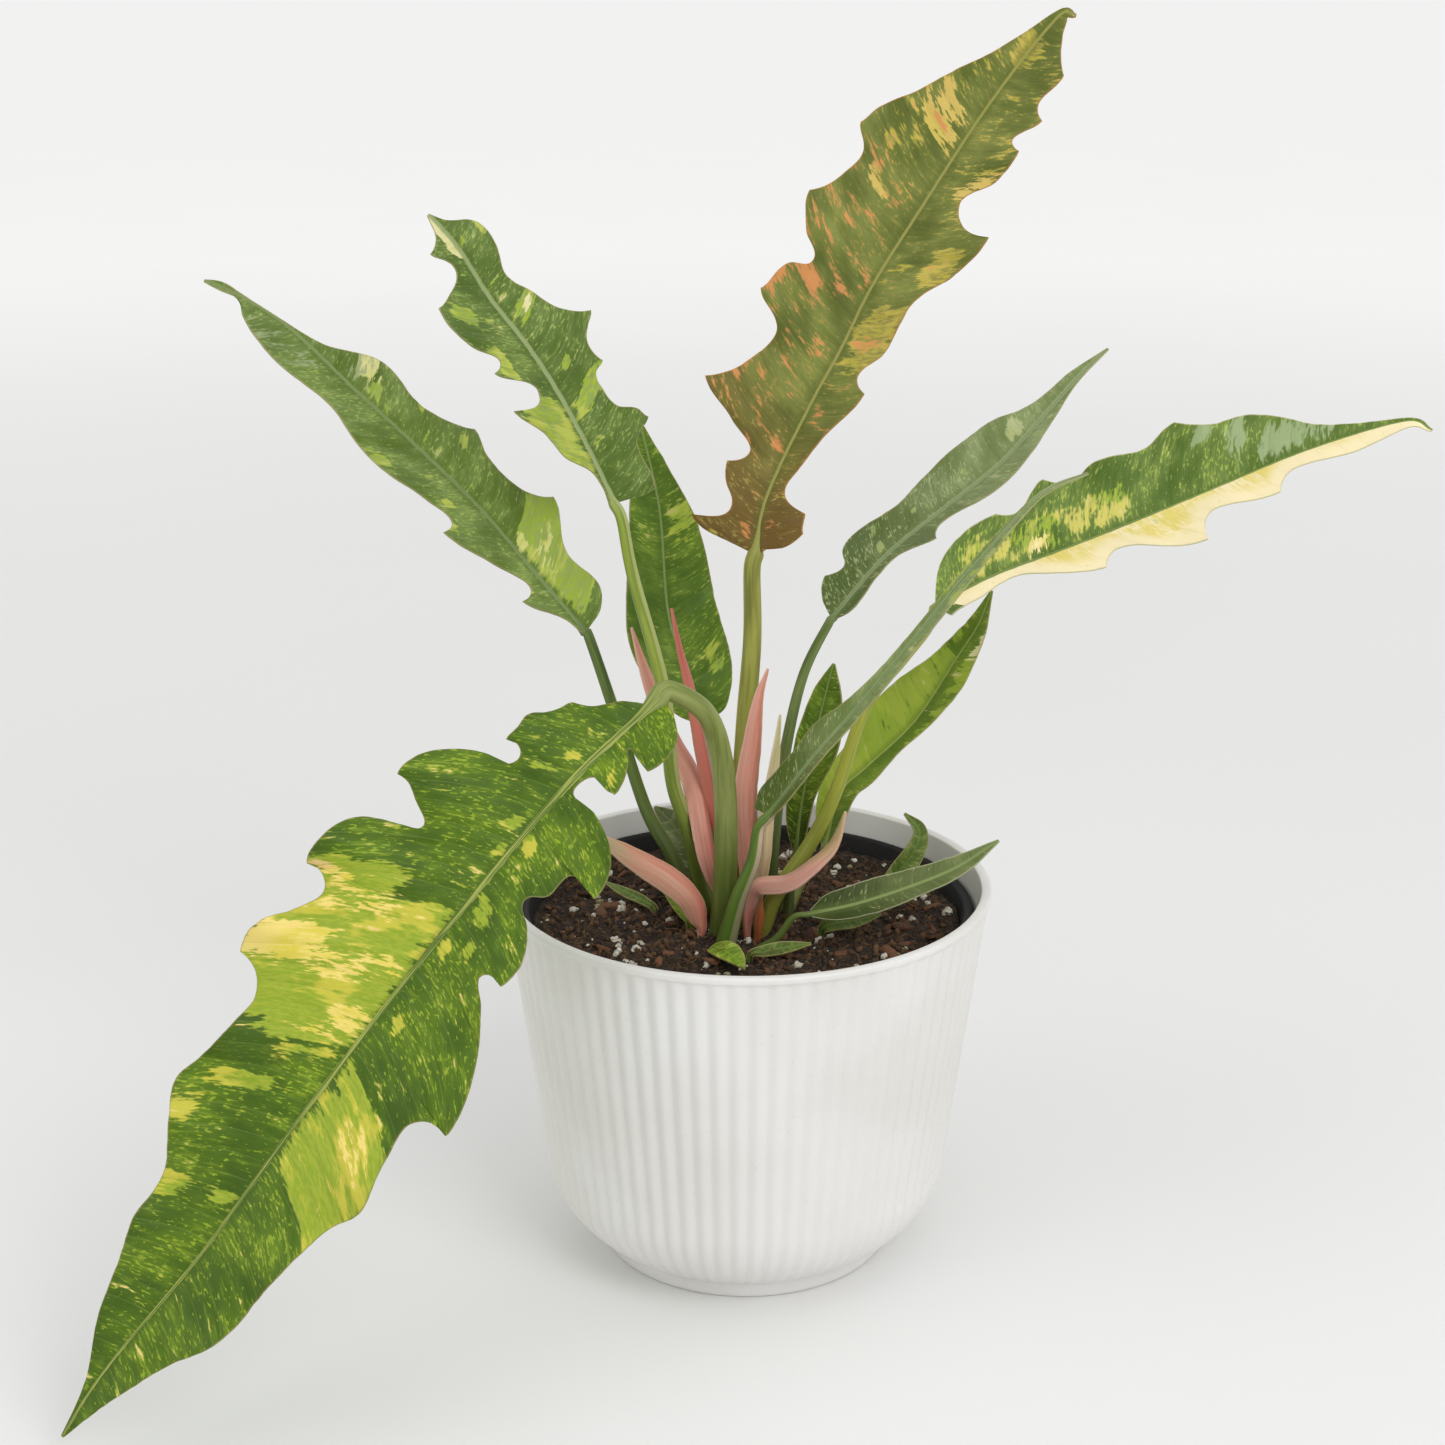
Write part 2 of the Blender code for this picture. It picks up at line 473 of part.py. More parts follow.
def build_leaves():
    """The eleven stalked leaves. Returns each stalk's place in the soil and its radius."""
    return [
        build_leaf(
            "front_leaf", (-8, -12), [(-7, -12, 139), (-7, -13, 163), (-9, -18, 183), (-14, -28, 199)],
            (4.1, 3.4), STALK_GREEN, LEAF_LIME,
            rib=[(-29, -42, 206), (-54, -62, 187), (-82, -84, 159), (-104, -101, 135), (-131, -118, 103),
                 (-161, -131, 64), (-189, -138, 31), (-204, -139, 8)],
            faces=((-0.1, -0.7, 0.7), (-0.2, -0.9, 0.4)),
            left=[(8, 16), (20, 17), (18, 7), (33, 14), (35, 4), (45, 22), (62, 31), (62, 21), (75, 15),
                  (93, 27), (101, 26), (101, 19), (119, 33), (131, 40), (143, 40), (144, 31), (169, 33),
                  (185, 28), (208, 24), (236, 18), (269, 6)],
            right=[(10, 9), (21, 18), (38, 24), (43, 17), (52, 34), (66, 42), (76, 27), (88, 43), (104, 47),
                   (110, 36), (123, 43), (139, 45), (145, 33), (156, 33), (179, 37), (187, 33), (196, 27),
                   (226, 20), (258, 7)],
            stations=30,
        ),
        build_leaf(
            "left_leaf", (-16, 0), [(-25, 2, 138), (-34, 6, 154), (-45, 13, 188)],
            (2.6, 1.8), STALK_GREEN, LEAF_GREEN,
            rib=[(-54, 18, 212), (-69, 22, 229), (-89, 27, 252), (-111, 32, 273), (-131, 36, 291),
                 (-151, 39, 310), (-166, 40, 320), (-178, 38, 326)],
            faces=((0.6, -0.5, 0.6), (0.5, -0.5, 0.7)),
            left=[(6, 3), (21, 16), (22, 8), (37, 16), (55, 26), (56, 18), (67, 19), (92, 24), (108, 17),
                  (137, 19), (157, 5)],
            right=[(3, 12), (8, 17), (24, 16), (42, 26), (49, 19), (66, 18), (75, 22), (90, 14), (113, 16),
                   (130, 5), (148, 3)],
            stations=16,
        ),
        build_leaf(
            "upper_left_leaf", (-13, 9), [(-20, 12, 145), (-25, 15, 161), (-28, 19, 192), (-38, 24, 230)],
            (3.0, 2.0), STALK_OLIVE, LEAF_GREEN,
            rib=[(-44, 26, 254), (-53, 30, 272), (-63, 34, 290), (-73, 37, 305), (-85, 40, 320),
                 (-95, 41, 336), (-104, 40, 347)],
            faces=((0.7, -0.6, 0.5), (0.7, -0.6, 0.4)),
            left=[(11, 3), (22, 15), (30, 18), (41, 27), (43, 9), (57, 24), (59, 18), (68, 25), (85, 27),
                  (87, 18), (93, 8), (103, 14), (106, 5)],
            right=[(-2, 18), (2, 19), (17, 21), (21, 27), (28, 20), (34, 17), (43, 22), (58, 29), (64, 19),
                   (74, 15), (83, 11), (93, 14), (99, 13), (108, 3)],
            stations=19,
        ),
        build_leaf(
            "hanging_leaf", (-8, 16), [(-10, 34, 137), (-14, 56, 152)],
            (2.5, 1.8), STALK_GREEN, LEAF_GREEN,
            rib=[(-17, 70, 164), (-22, 75, 183), (-28, 82, 203), (-31, 92, 238), (-38, 98, 269)],
            faces=((0.3, -0.9, 0.3), (0.3, -0.9, 0.2)),
            left=[(3, 6), (16, 15), (31, 18), (47, 16), (64, 14), (84, 11)],
            right=[(1, 9), (12, 16), (28, 18), (51, 17), (70, 14), (87, 8)],
            stations=12,
        ),
        build_leaf(
            "tall_leaf", (-1, 15), [(-2, 14, 140), (0, 18, 181), (2, 20, 209)],
            (4.2, 2.3), STALK_OLIVE, LEAF_BRONZE,
            rib=[(3, 22, 238), (7, 25, 257), (21, 30, 286), (31, 33, 304), (41, 36, 324), (55, 40, 346),
                 (78, 44, 381), (99, 45, 408), (105, 44, 409)],
            faces=((-0.5, -0.8, 0.4), (-0.5, -0.8, 0.4)),
            left=[(2, 9), (9, 25), (14, 11), (20, 16), (25, 18), (29, 12), (37, 23), (45, 38), (57, 27),
                  (67, 23), (80, 35), (91, 31), (95, 23), (101, 30), (112, 37), (123, 30), (131, 28),
                  (138, 34), (146, 32), (159, 22), (177, 11), (193, 4)],
            right=[(2, 4), (4, 12), (10, 19), (19, 18), (24, 6), (32, 8), (44, 11), (64, 18), (67, 12),
                   (78, 17), (97, 19), (112, 27), (127, 31), (127, 18), (132, 13), (146, 21), (156, 22),
                   (157, 18), (170, 22), (173, 17), (185, 18), (195, 7)],
            stations=30,
        ),
        build_leaf(
            "back_right_leaf", (8, 13), [(10, 17, 144), (14, 26, 170), (20, 34, 193)],
            (2.6, 1.6), STALK_GREEN, LEAF_GREY_GREEN,
            rib=[(30, 40, 211), (49, 52, 230), (71, 64, 245), (90, 74, 258), (105, 84, 272), (118, 91, 285),
                 (129, 95, 295)],
            faces=((-0.5, -0.4, 0.8), (-0.5, -0.5, 0.7)),
            left=[(5, 10), (12, 15), (18, 11), (23, 16), (48, 15), (58, 17), (84, 19), (98, 16), (105, 10),
                  (128, 4)],
            right=[(3, 5), (21, 5), (30, 5), (43, 14), (48, 8), (69, 12), (104, 7), (122, 2)],
            stations=15,
        ),
        build_leaf(
            "right_leaf", (5, -11), [(10, -12, 130), (21, -10, 147), (29, -9, 164), (39, -5, 193)],
            (3.0, 2.0), STALK_OLIVE, LEAF_GREEN,
            rib=[(62, 0, 226), (80, 6, 234), (101, 10, 241), (126, 14, 250), (155, 16, 262), (183, 16, 274),
                 (212, 12, 284), (220, 8, 282)],
            faces=((-0.2, -0.5, 0.9), (-0.4, -0.5, 0.8)),
            left=[(1, 3), (11, 15), (32, 23), (35, 21), (52, 30), (62, 25), (67, 28), (87, 26), (98, 31),
                  (109, 24), (118, 23), (138, 8), (154, 3)],
            right=[(1, 8), (14, 7), (29, 5), (38, 10), (54, 18), (57, 13), (88, 25), (93, 12), (117, 16),
                   (121, 9), (147, 9), (159, 5)],
            stations=18,
        ),
        build_leaf(
            "narrow_leaf", (-7, -22), [(-3, -22, 132), (2, -23, 146)],
            (3.4, 2.0), STALK_GREEN, LEAF_GREY_GREEN,
            rib=[(7, -24, 162), (22, -30, 185), (35, -34, 202), (51, -39, 225), (66, -43, 246),
                 (82, -47, 267), (90, -49, 275), (101, -50, 280)],
            faces=((-0.8, -0.3, 0.5), (-0.8, -0.3, 0.6)),
            left=[(3, 9), (20, 9), (36, 9), (50, 6), (66, 4), (84, 3), (104, 3), (128, 2)],
            right=[(4, 4), (17, 6), (40, 6), (56, 6), (76, 7), (95, 6), (114, 5), (129, 3)],
            stations=12,
        ),
        build_leaf(
            "lower_right_leaf", (14, 6), [(20, 18, 124)],
            (2.4, 1.6), STALK_GREEN, LEAF_LIME,
            rib=[(28, 30, 131), (34, 36, 149), (43, 40, 157), (60, 46, 172), (75, 52, 194), (82, 54, 205),
                 (86, 54, 217)],
            faces=((-0.6, -0.7, 0.4), (-0.6, -0.6, 0.5)),
            left=[(8, 6), (20, 9), (30, 11), (51, 17), (65, 15), (78, 9), (98, 4)],
            right=[(8, 5), (29, 7), (48, 5), (62, 8), (74, 10), (93, 6), (101, 3)],
            stations=12,
        ),
        build_leaf(
            "short_leaf", (14, -3), [(15, 0, 130)],
            (2.0, 1.4), STALK_GREEN, LEAF_GREEN,
            rib=[(17, 2, 140), (19, 4, 157), (23, 6, 178), (26, 8, 191), (29, 8, 204)],
            faces=((-0.6, -0.8, 0.2), (-0.6, -0.8, 0.1)),
            left=[(6, 4), (18, 6), (47, 6), (57, 4)],
            right=[(4, 3), (19, 5), (42, 11), (56, 7)],
            stations=8,
        ),
        build_leaf(
            "rim_leaf", (4, -27), [(10, -28, 121)],
            (1.6, 1.2), STALK_GREEN, LEAF_GREEN,
            rib=[(21, -27, 129), (36, -26, 132), (54, -23, 137), (69, -19, 142), (83, -15, 150)],
            faces=((-0.1, -0.6, 0.8), (-0.4, -0.6, 0.7)),
            left=[(5, 5), (18, 7), (36, 6), (52, 4)],
            right=[(5, 4), (18, 6), (36, 5), (52, 4)],
            stations=8,
        ),
    ]


def build_crown():
    """The short stem that the stalks stand round. Its foot is in the soil, and four sheaths stand on it."""
    shape = TurnedShape()
    bottom = SOIL_TOP - HOLE_DEPTH + CLEARANCE
    shape.centre(bottom)
    shape.ring(CROWN_RADIUS, bottom, 12)
    shape.ring(CROWN_RADIUS, CROWN_TOP - 2.0, 12)
    shape.ring(CROWN_RADIUS - 1.0, CROWN_TOP, 12)
    shape.centre(CROWN_TOP)
    points = [(x + CROWN_PLACE[0], y + CROWN_PLACE[1], z) for x, y, z in shape.points]
    add_mesh("crown", points, shape.faces, STALK_OLIVE)
    return (*CROWN_PLACE, CROWN_RADIUS)


def build_sheaths():
    """The four pink and pale sheaths that stand on the crown, where young leaves came out of them."""
    on_crown = CROWN_TOP + CLEARANCE
    left_face, front_face = (0.5, -0.8, 0.3), (0.1, -1.0, 0.3)
    for name, route, face, half_width, finish in (
        ("left_sheath", [(-8, -1, on_crown + 0.5), (-12, 0, 139), (-16.7, 19, 159), (-25, 29, 172),
                         (-34, 34, 194), (-39, 35, 209)], left_face, 4.8, SHEATH_PINK),
        ("slim_sheath", [(-4, 6, on_crown), (-8, 11, 142), (-13, 16, 164), (-18, 20, 190),
                         (-22, 22, 205), (-25, 23, 219)], left_face, 3.2, SHEATH_PINK),
        ("centre_sheath", [(0, -2, on_crown), (1, -3, 135), (0, -2, 160), (2, 0, 178),
                           (4, 1, 194), (7, 2, 204)], front_face, 5.0, SHEATH_PINK),
        ("pale_sheath", [(4, -4, on_crown), (6, -6, 140), (7, -6, 156), (9, -5, 170),
                         (11, -4, 190)], front_face, 3.2, SHEATH_PALE),
    ):
        build_sheath(name, route, face, half_width, finish)


def build_small_leaves():
    """Three sheaths and seven leaflets that come straight out of the soil. Each row is the name, the
    place in the soil, the rest of the route, the way it faces, half its width, its finish and fold."""
    roots = []
    for name, place, way, face, half_width, finish, fold in (
        ("right_sheath", (0, -14), [(0, -14, 127), (3, -16, 135), (13, -20, 138), (22, -21, 145),
                                    (28, -20, 151), (32, -20, 162)],
         (-0.3, -0.6, 0.8), 4.0, SHEATH_PINK, -30.0),
        ("low_sheath", (-15, -16), [(-15, -16, 121), (-18, -16, 130), (-25, -15, 137), (-35, -14, 143),
                                    (-45, -14, 149), (-53, -13, 152)],
         (0.2, -0.7, 0.7), 5.6, SHEATH_PINK, -30.0),
        ("dry_sheath", (4, -18), [(4, -18, 121), (5, -17, 130)],
         (0.1, -0.9, 0.3), 1.8, DRY_BROWN, -25.0),
        ("curled_leaflet", (47, 18), [(51, 20, 123), (58, 22, 132), (60, 24, 139), (55, 25, 145)],
         (0.3, -0.8, 0.3), 4.4, LEAF_GREEN, 25.0),
        ("back_leaflet", (-17, 30), [(-19, 31, 126), (-25, 36, 136), (-32, 40, 142)],
         (0.3, -0.8, 0.5), 6.8, LEAF_GREY_GREEN, 15.0),
        ("under_leaflet", (25, -14), [(28, -15, 120), (36, -14, 121), (45, -13, 123)],
         (0.0, -0.5, 0.8), 3.6, LEAF_GREEN, 15.0),
        ("front_leaflet", (-11, -29), [(-9, -33, 119), (-5, -40, 119.5), (-1, -48, 119)],
         (0.1, -0.6, 0.8), 4.4, LEAF_LIME, 15.0),
        ("side_leaflet", (1, -33), [(6, -33, 118), (13, -32, 119), (21, -31, 120)],
         (0.0, -0.5, 0.8), 2.6, LEAF_GREEN, 15.0),
        ("edge_leaflet", (-31, 5), [(-35, 8, 119), (-42, 14, 120), (-49, 21, 121)],
         (0.1, -0.5, 0.8), 2.2, LEAF_GREEN, 15.0),
        ("thin_leaflet", (-19, -7), [(-21, -5, 119), (-25, 1, 122), (-28, 5, 124)],
         (0.2, -0.5, 0.8), 1.8, LEAF_GREEN, 15.0),
    ):
        route = [*foot_of(*place), *way]
        build_sheath(name, route, face, half_width, finish, fold, stub=HOLE_DEPTH + 1.5)
        roots.append((*place, SMALL_ROOT_RADIUS))
    return roots


def main():
    clear_scene()
    build_planter()
    build_nursery_pot()
    roots = [build_crown(), *build_leaves(), *build_small_leaves()]
    build_sheaths()
    build_soil(roots)


main()
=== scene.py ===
"""The looks of a potted philodendron: a white fluted planter, a thin nursery pot full of soil in
it, and a plant with long, jagged, variegated leaves. Sizes are in millimetres, but in metres in
the studio. Angles are in radians unless a name says degrees. Colours are screen values of 0 to
255."""

import math

import bpy
import numpy as np
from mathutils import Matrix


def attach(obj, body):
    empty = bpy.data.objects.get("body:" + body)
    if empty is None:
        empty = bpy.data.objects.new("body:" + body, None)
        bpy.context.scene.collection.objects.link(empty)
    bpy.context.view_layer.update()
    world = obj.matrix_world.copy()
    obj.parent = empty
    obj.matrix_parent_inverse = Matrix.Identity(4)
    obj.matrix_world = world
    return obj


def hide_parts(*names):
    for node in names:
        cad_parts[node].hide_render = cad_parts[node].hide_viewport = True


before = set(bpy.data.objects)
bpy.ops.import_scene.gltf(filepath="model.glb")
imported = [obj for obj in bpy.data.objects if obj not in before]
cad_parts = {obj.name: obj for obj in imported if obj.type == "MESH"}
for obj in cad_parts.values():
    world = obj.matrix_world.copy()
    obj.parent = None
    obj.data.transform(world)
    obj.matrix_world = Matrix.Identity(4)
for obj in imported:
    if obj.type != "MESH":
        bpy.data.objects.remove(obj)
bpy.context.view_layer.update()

# Planter
# A cast earthenware planter under a white satin glaze. Its wall carries rounded ribs with narrow
# grooves between them, cast in one with it. They run out under a plain lip and above a plain foot.

MM = 0.001
PLANTER_HEIGHT = 130.5
RIM_RADIUS = 82.5
WALL_TOP_RADIUS = 81.7
WALL_FOOT_RADIUS = 69.3
FOOT_RADIUS = 50.0
FOOT_HEIGHT = 5.4
FOOT_ROUND = 1.2  # width of the rounded edge under the foot
TURN_STEP = 0.3  # how far the turn starts out from the foot, and above it
TURN_HEIGHT = 33.2
TURN_FLATNESS = (1.33, 0.85)  # powers that flatten a quarter round into the turn's softer curve
FLOOR_HEIGHT = 10.0
LIP_HEIGHT = 2.6
LIP_ROUND = 0.7
LIP_SQUARENESS = 0.8  # below 1 it makes the lip's half round a little squarer
INNER_RIM_DEPTH = 5.0  # from the lip's top down to where the inner wall starts
PLANTER_WALL = 3.4
FLUTES = 78
FLUTE_DEPTH = 0.9
FLUTE_START = 7.0  # the flutes reach their full depth in a seventh of the turn's width
FLUTE_FADE = 1.5  # height over which the flutes run out under the lip
FADE_SWELL = 0.2  # how much the wall widens over that height
FLUTE_REST = 0.4  # share of their depth that the flutes still have where the lip begins
FLUTE_BLUNTNESS = 1.5  # at 2 ribs and grooves are alike, and below 2 the ribs are the broader
POINTS_A_FLUTE = 10


def full_circle(count):
    """Even steps of angle all round: 2 pi j / count."""
    return 2 * np.pi * np.arange(count) / count


def grid_triangles(rows, columns):
    """Two triangles for each cell of a grid whose last column meets its first."""
    index = np.arange(rows * columns).reshape(rows, columns)
    index = np.hstack([index, index[:, :1]])
    a, b, c, d = index[:-1, :-1], index[:-1, 1:], index[1:, 1:], index[1:, :-1]
    halves = [np.stack(corners, axis=-1).reshape(-1, 3) for corners in ((a, b, c), (a, c, d))]
    return np.concatenate(halves)


def close_rings(rings, first=None, last=None):
    """A closed skin from a stack of rings. Ring i is joined to ring i + 1, and each end is closed
    by a fan to one point, which is the mean of that end's ring where none is given. Each point is
    its x, y and z, and then whatever marks it carries."""
    rows, columns, _ = rings.shape
    first = rings[0].mean(axis=0) if first is None else first
    last = rings[-1].mean(axis=0) if last is None else last
    points = np.concatenate([[first], rings.reshape(rows * columns, -1), [last]])
    turn = np.arange(columns)
    ahead = np.roll(turn, -1)
    start, end = 1, 1 + (rows - 1) * columns
    foot = np.stack([0 * turn, start + ahead, start + turn], axis=1)
    head = np.stack([0 * turn + len(points) - 1, end + turn, end + ahead], axis=1)
    return points, np.concatenate([grid_triangles(rows, columns) + 1, foot, head])


def turned_skin(radii, heights, columns, cut=0.0):
    """A turned shape. Row i stands at radius i, less the cut at each angle, and at height i. The
    first and last rows are points on the axis."""
    angle = full_circle(columns)
    reach = np.asarray(radii)[1:-1, None] - (cut if np.isscalar(cut) else cut[1:-1])
    level = np.broadcast_to(np.asarray(heights)[1:-1, None], (len(radii) - 2, columns))
    rings = np.stack([reach * np.cos(angle), reach * np.sin(angle), level + 0 * reach], axis=-1)
    return close_rings(rings, (0.0, 0.0, heights[0]), (0.0, 0.0, heights[-1]))


def add_piece(name, skin, finish, replaces=(), marks=(), sharp_degrees=40.0):
    """A piece from a skin. marks names what each point carries after its place, and how many
    numbers each mark takes."""
    points, triangles = skin
    mesh = bpy.data.meshes.new(name)
    mesh.vertices.add(len(points))
    mesh.vertices.foreach_set("co", (points[:, :3] * MM).ravel())
    mesh.loops.add(triangles.size)
    mesh.loops.foreach_set("vertex_index", triangles.ravel())
    mesh.polygons.add(len(triangles))
    mesh.polygons.foreach_set("loop_start", np.arange(0, triangles.size, 3))
    mesh.update(calc_edges=True)
    mesh.shade_smooth()
    mesh.set_sharp_from_angle(angle=math.radians(sharp_degrees))
    kinds = {1: ("FLOAT", "value"), 3: ("FLOAT_VECTOR", "vector"), 4: ("FLOAT_COLOR", "color")}
    column = 3
    for mark, width in marks:
        kind, field = kinds[width]
        values = points[:, column : column + width].astype(np.float32)
        mesh.attributes.new(mark, kind, "POINT").data.foreach_set(field, values.ravel())
        column += width
    piece = bpy.data.objects.new(name, mesh)
    bpy.context.scene.collection.objects.link(piece)
    mesh.materials.append(finish.material)
    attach(piece, "root")
    if replaces:
        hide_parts(*replaces)


def paint(red, green, blue):
    """The colour that a shader takes, from screen values of 0 to 255."""
    screen = np.array([red, green, blue]) / 255
    return np.where(screen < 0.04045, screen / 12.92, ((screen + 0.055) / 1.055) ** 2.4).tolist()


class Signal:
    """What a node puts out. Python arithmetic on it adds Math nodes."""

    def __init__(self, finish, socket):
        self.finish = finish
        self.socket = socket

    def maths(self, operation, *terms):
        """A Math node fed with the terms."""
        return self.finish.node("ShaderNodeMath", {"operation": operation}, dict(enumerate(terms)))

    def __add__(self, other):
        return self.maths("ADD", self, other)

    def __sub__(self, other):
        return self.maths("SUBTRACT", self, other)

    def __rsub__(self, other):
        return self.maths("SUBTRACT", other, self)

    def __mul__(self, other):
        return self.maths("MULTIPLY", self, other)

    def __abs__(self):
        return self.maths("ABSOLUTE", self)

    __radd__ = __add__
    __rmul__ = __mul__

    def between(self, low, high):
        """0 below low, 1 above high, and a smooth rise between them."""
        values = {"Value": self, "From Min": low, "From Max": high}
        return self.finish.node("ShaderNodeMapRange", {"interpolation_type": "SMOOTHSTEP"}, values)

    def tint(self, low, high):
        """The colour low where this is 0 and high where it is 1. Colours are screen values."""
        values = {0: self, 6: low, 7: high}
        return self.finish.node("ShaderNodeMix", {"data_type": "RGBA"}, values, 2)


class Finish:
    """A material being mixed. node adds a node and returns what it puts out."""

    def __init__(self, name):
        self.material = bpy.data.materials.new(name)
        self.material.use_nodes = True
        self.tree = self.material.node_tree
        self.shader = self.tree.nodes["Principled BSDF"]

    def node(self, kind, settings, values, output=0):
        """A node of that kind: its settings first, then the value or the link of each socket."""
        made = self.tree.nodes.new(kind)
        for setting, value in settings.items():
            setattr(made, setting, value)
        for socket, value in values.items():
            self.feed(made.inputs[socket], value)
        return Signal(self, made.outputs[output])

    def feed(self, socket, value):
        """Links a signal to a socket, or sets it to a number or to a colour in screen values."""
        if isinstance(value, Signal):
            self.tree.links.new(value.socket, socket)
        elif socket.type == "RGBA":
            socket.default_value = (*paint(*value), 1.0)
        else:
            socket.default_value = value

    def axes(self, vector):
        """The three numbers of a vector."""
        return [self.node("ShaderNodeSeparateXYZ", {}, {0: vector}, axis) for axis in range(3)]

    def object_place(self):
        """The place on the piece, in metres."""
        return self.node("ShaderNodeTexCoord", {}, {}, "Object")

    def mark(self, name, output="Vector"):
        """A mark that the mesh carries at each of its points."""
        settings = {"attribute_type": "GEOMETRY", "attribute_name": name}
        return self.node("ShaderNodeAttribute", settings, {}, output)

    def spot(self, x, y, z):
        """A vector from three numbers."""
        return self.node("ShaderNodeCombineXYZ", {}, {0: x, 1: y, 2: z})

    def cloud(self, vector, scale, detail=2.0, roughness=0.5):
        """Noise from 0 to 1 whose lumps are about 1 / scale across."""
        values = {"Vector": vector, "Scale": scale, "Detail": detail, "Roughness": roughness}
        return self.node("ShaderNodeTexNoise", {}, values)

    def coat(self, colour, roughness, relief=None, depth=0.0, gloss=0.5):
        """Puts colour, roughness and relief on the shader. depth is the relief's height in mm, and
        gloss is how strongly the surface mirrors light, 0.5 for glaze or glass."""
        self.feed(self.shader.inputs["Base Color"], colour)
        self.feed(self.shader.inputs["Roughness"], roughness)
        self.feed(self.shader.inputs["Specular IOR Level"], gloss)
        if relief is not None:
            values = {"Height": relief, "Strength": 1.0, "Distance": depth * MM}
            self.feed(self.shader.inputs["Normal"], self.node("ShaderNodeBump", {}, values))
        return self


def planter_profile():
    """Radius, height and share of the full flute depth from the middle of the underside, up the
    outside, over the lip and down the inside to the middle of the floor. The turn runs over a
    quarter round: out = sin(angle) ** flatness, up = (1 - cos(angle)) ** flatness. The lip is half
    an ellipse whose sines are raised to its squareness."""
    lip_foot = PLANTER_HEIGHT - LIP_HEIGHT
    rows = [(0.0, 0.0, 0.0), (FOOT_RADIUS - FOOT_ROUND, 0.0, 0.0)]
    rows.append((FOOT_RADIUS - FOOT_ROUND / 4, 0.25, 0.0))
    rows += [(FOOT_RADIUS, height, 0.0) for height in np.linspace(0.9, FOOT_HEIGHT, 4)]
    angles = np.linspace(0.0, math.pi / 2, 30)
    out = np.sin(angles) ** TURN_FLATNESS[0]
    up = (1 - np.cos(angles)) ** TURN_FLATNESS[1]
    turn_radii = FOOT_RADIUS + TURN_STEP + (WALL_FOOT_RADIUS - FOOT_RADIUS - TURN_STEP) * out
    turn_heights = FOOT_HEIGHT + TURN_STEP + (TURN_HEIGHT - FOOT_HEIGHT - TURN_STEP) * up
    rows += list(zip(turn_radii, turn_heights, np.clip(FLUTE_START * out, 0, 1)))
    fade_foot = lip_foot - FLUTE_FADE
    for share in np.linspace(0.1, 1.0, 10):
        radius = WALL_FOOT_RADIUS + share * (WALL_TOP_RADIUS - FADE_SWELL - WALL_FOOT_RADIUS)
        rows.append((radius, TURN_HEIGHT + share * (fade_foot - TURN_HEIGHT), 1.0))
    for share in np.linspace(0.2, 1.0, 5):
        radius = WALL_TOP_RADIUS - FADE_SWELL * (1 - share)
        rows.append((radius, fade_foot + FLUTE_FADE * share, 1 - (1 - FLUTE_REST) * share**2))
    for angle in np.linspace(0.3, math.pi / 2, 4):
        swell = (RIM_RADIUS - WALL_TOP_RADIUS) * math.sin(angle)
        height = lip_foot + LIP_ROUND * (1 - math.cos(angle))
        rows.append((WALL_TOP_RADIUS + swell, height, FLUTE_REST * math.cos(angle)))
    middle = RIM_RADIUS - 0.5 * PLANTER_WALL
    for angle in np.linspace(0.0, math.pi, 13):
        across = middle + 0.5 * PLANTER_WALL * math.cos(angle)
        drop = LIP_ROUND * (1 - math.sin(angle) ** LIP_SQUARENESS)
        rows.append((across, PLANTER_HEIGHT - drop, 0.0))
    inner_top = WALL_TOP_RADIUS - PLANTER_WALL
    inner_foot = WALL_FOOT_RADIUS - FLUTE_DEPTH - PLANTER_WALL
    inner_rim = PLANTER_HEIGHT - INNER_RIM_DEPTH
    for share in np.linspace(0.0, 1.0, 8):
        radius = inner_top + share * (inner_foot - inner_top)
        rows.append((radius, inner_rim + share * (TURN_HEIGHT - inner_rim), 0.0))
    for angle in np.linspace(0.2, math.pi / 2, 8):
        radius = inner_foot - (inner_foot - FOOT_RADIUS - 1.0) * (1 - math.cos(angle))
        rows.append((radius, TURN_HEIGHT - (TURN_HEIGHT - FLOOR_HEIGHT) * math.sin(angle), 0.0))
    rows.append((0.0, FLOOR_HEIGHT, 0.0))
    return np.array(rows).T


def planter_skin():
    """The profile turned. Round the wall a groove's depth is 1 - |cos(flutes * angle / 2)| **
    bluntness, so a rib is at angle 0."""
    radii, heights, fades = planter_profile()
    columns = FLUTES * POINTS_A_FLUTE
    groove = 1 - np.abs(np.cos(FLUTES * full_circle(columns) / 2)) ** FLUTE_BLUNTNESS
    return turned_skin(radii, heights, columns, FLUTE_DEPTH * fades[:, None] * groove)


def white_glaze():
    """Nearly white, a little warmer where the glaze is thin, and satin with duller clouds."""
    finish = Finish("white_glaze")
    place = finish.object_place()
    broad = finish.cloud(place, 18.0, 3.0)
    fine = finish.cloud(place, 900.0, 2.0)
    colour = broad.between(0.3, 0.7).tint((226, 224, 219), (234, 233, 231))
    colour = fine.between(0.66, 0.8).tint(colour, (218, 215, 208))
    return finish.coat(colour, 0.36 + 0.12 * broad, 0.7 * broad + 0.3 * fine, 0.06)


add_piece("planter_glazed", planter_skin(), white_glaze(), ["planter"],
          sharp_degrees=60.0)

# Nursery pot
# The thin black polypropylene pot that the plant was grown in. It is injection moulded, with a
# rolled collar round its mouth, and stands loose inside the planter with only that collar showing.

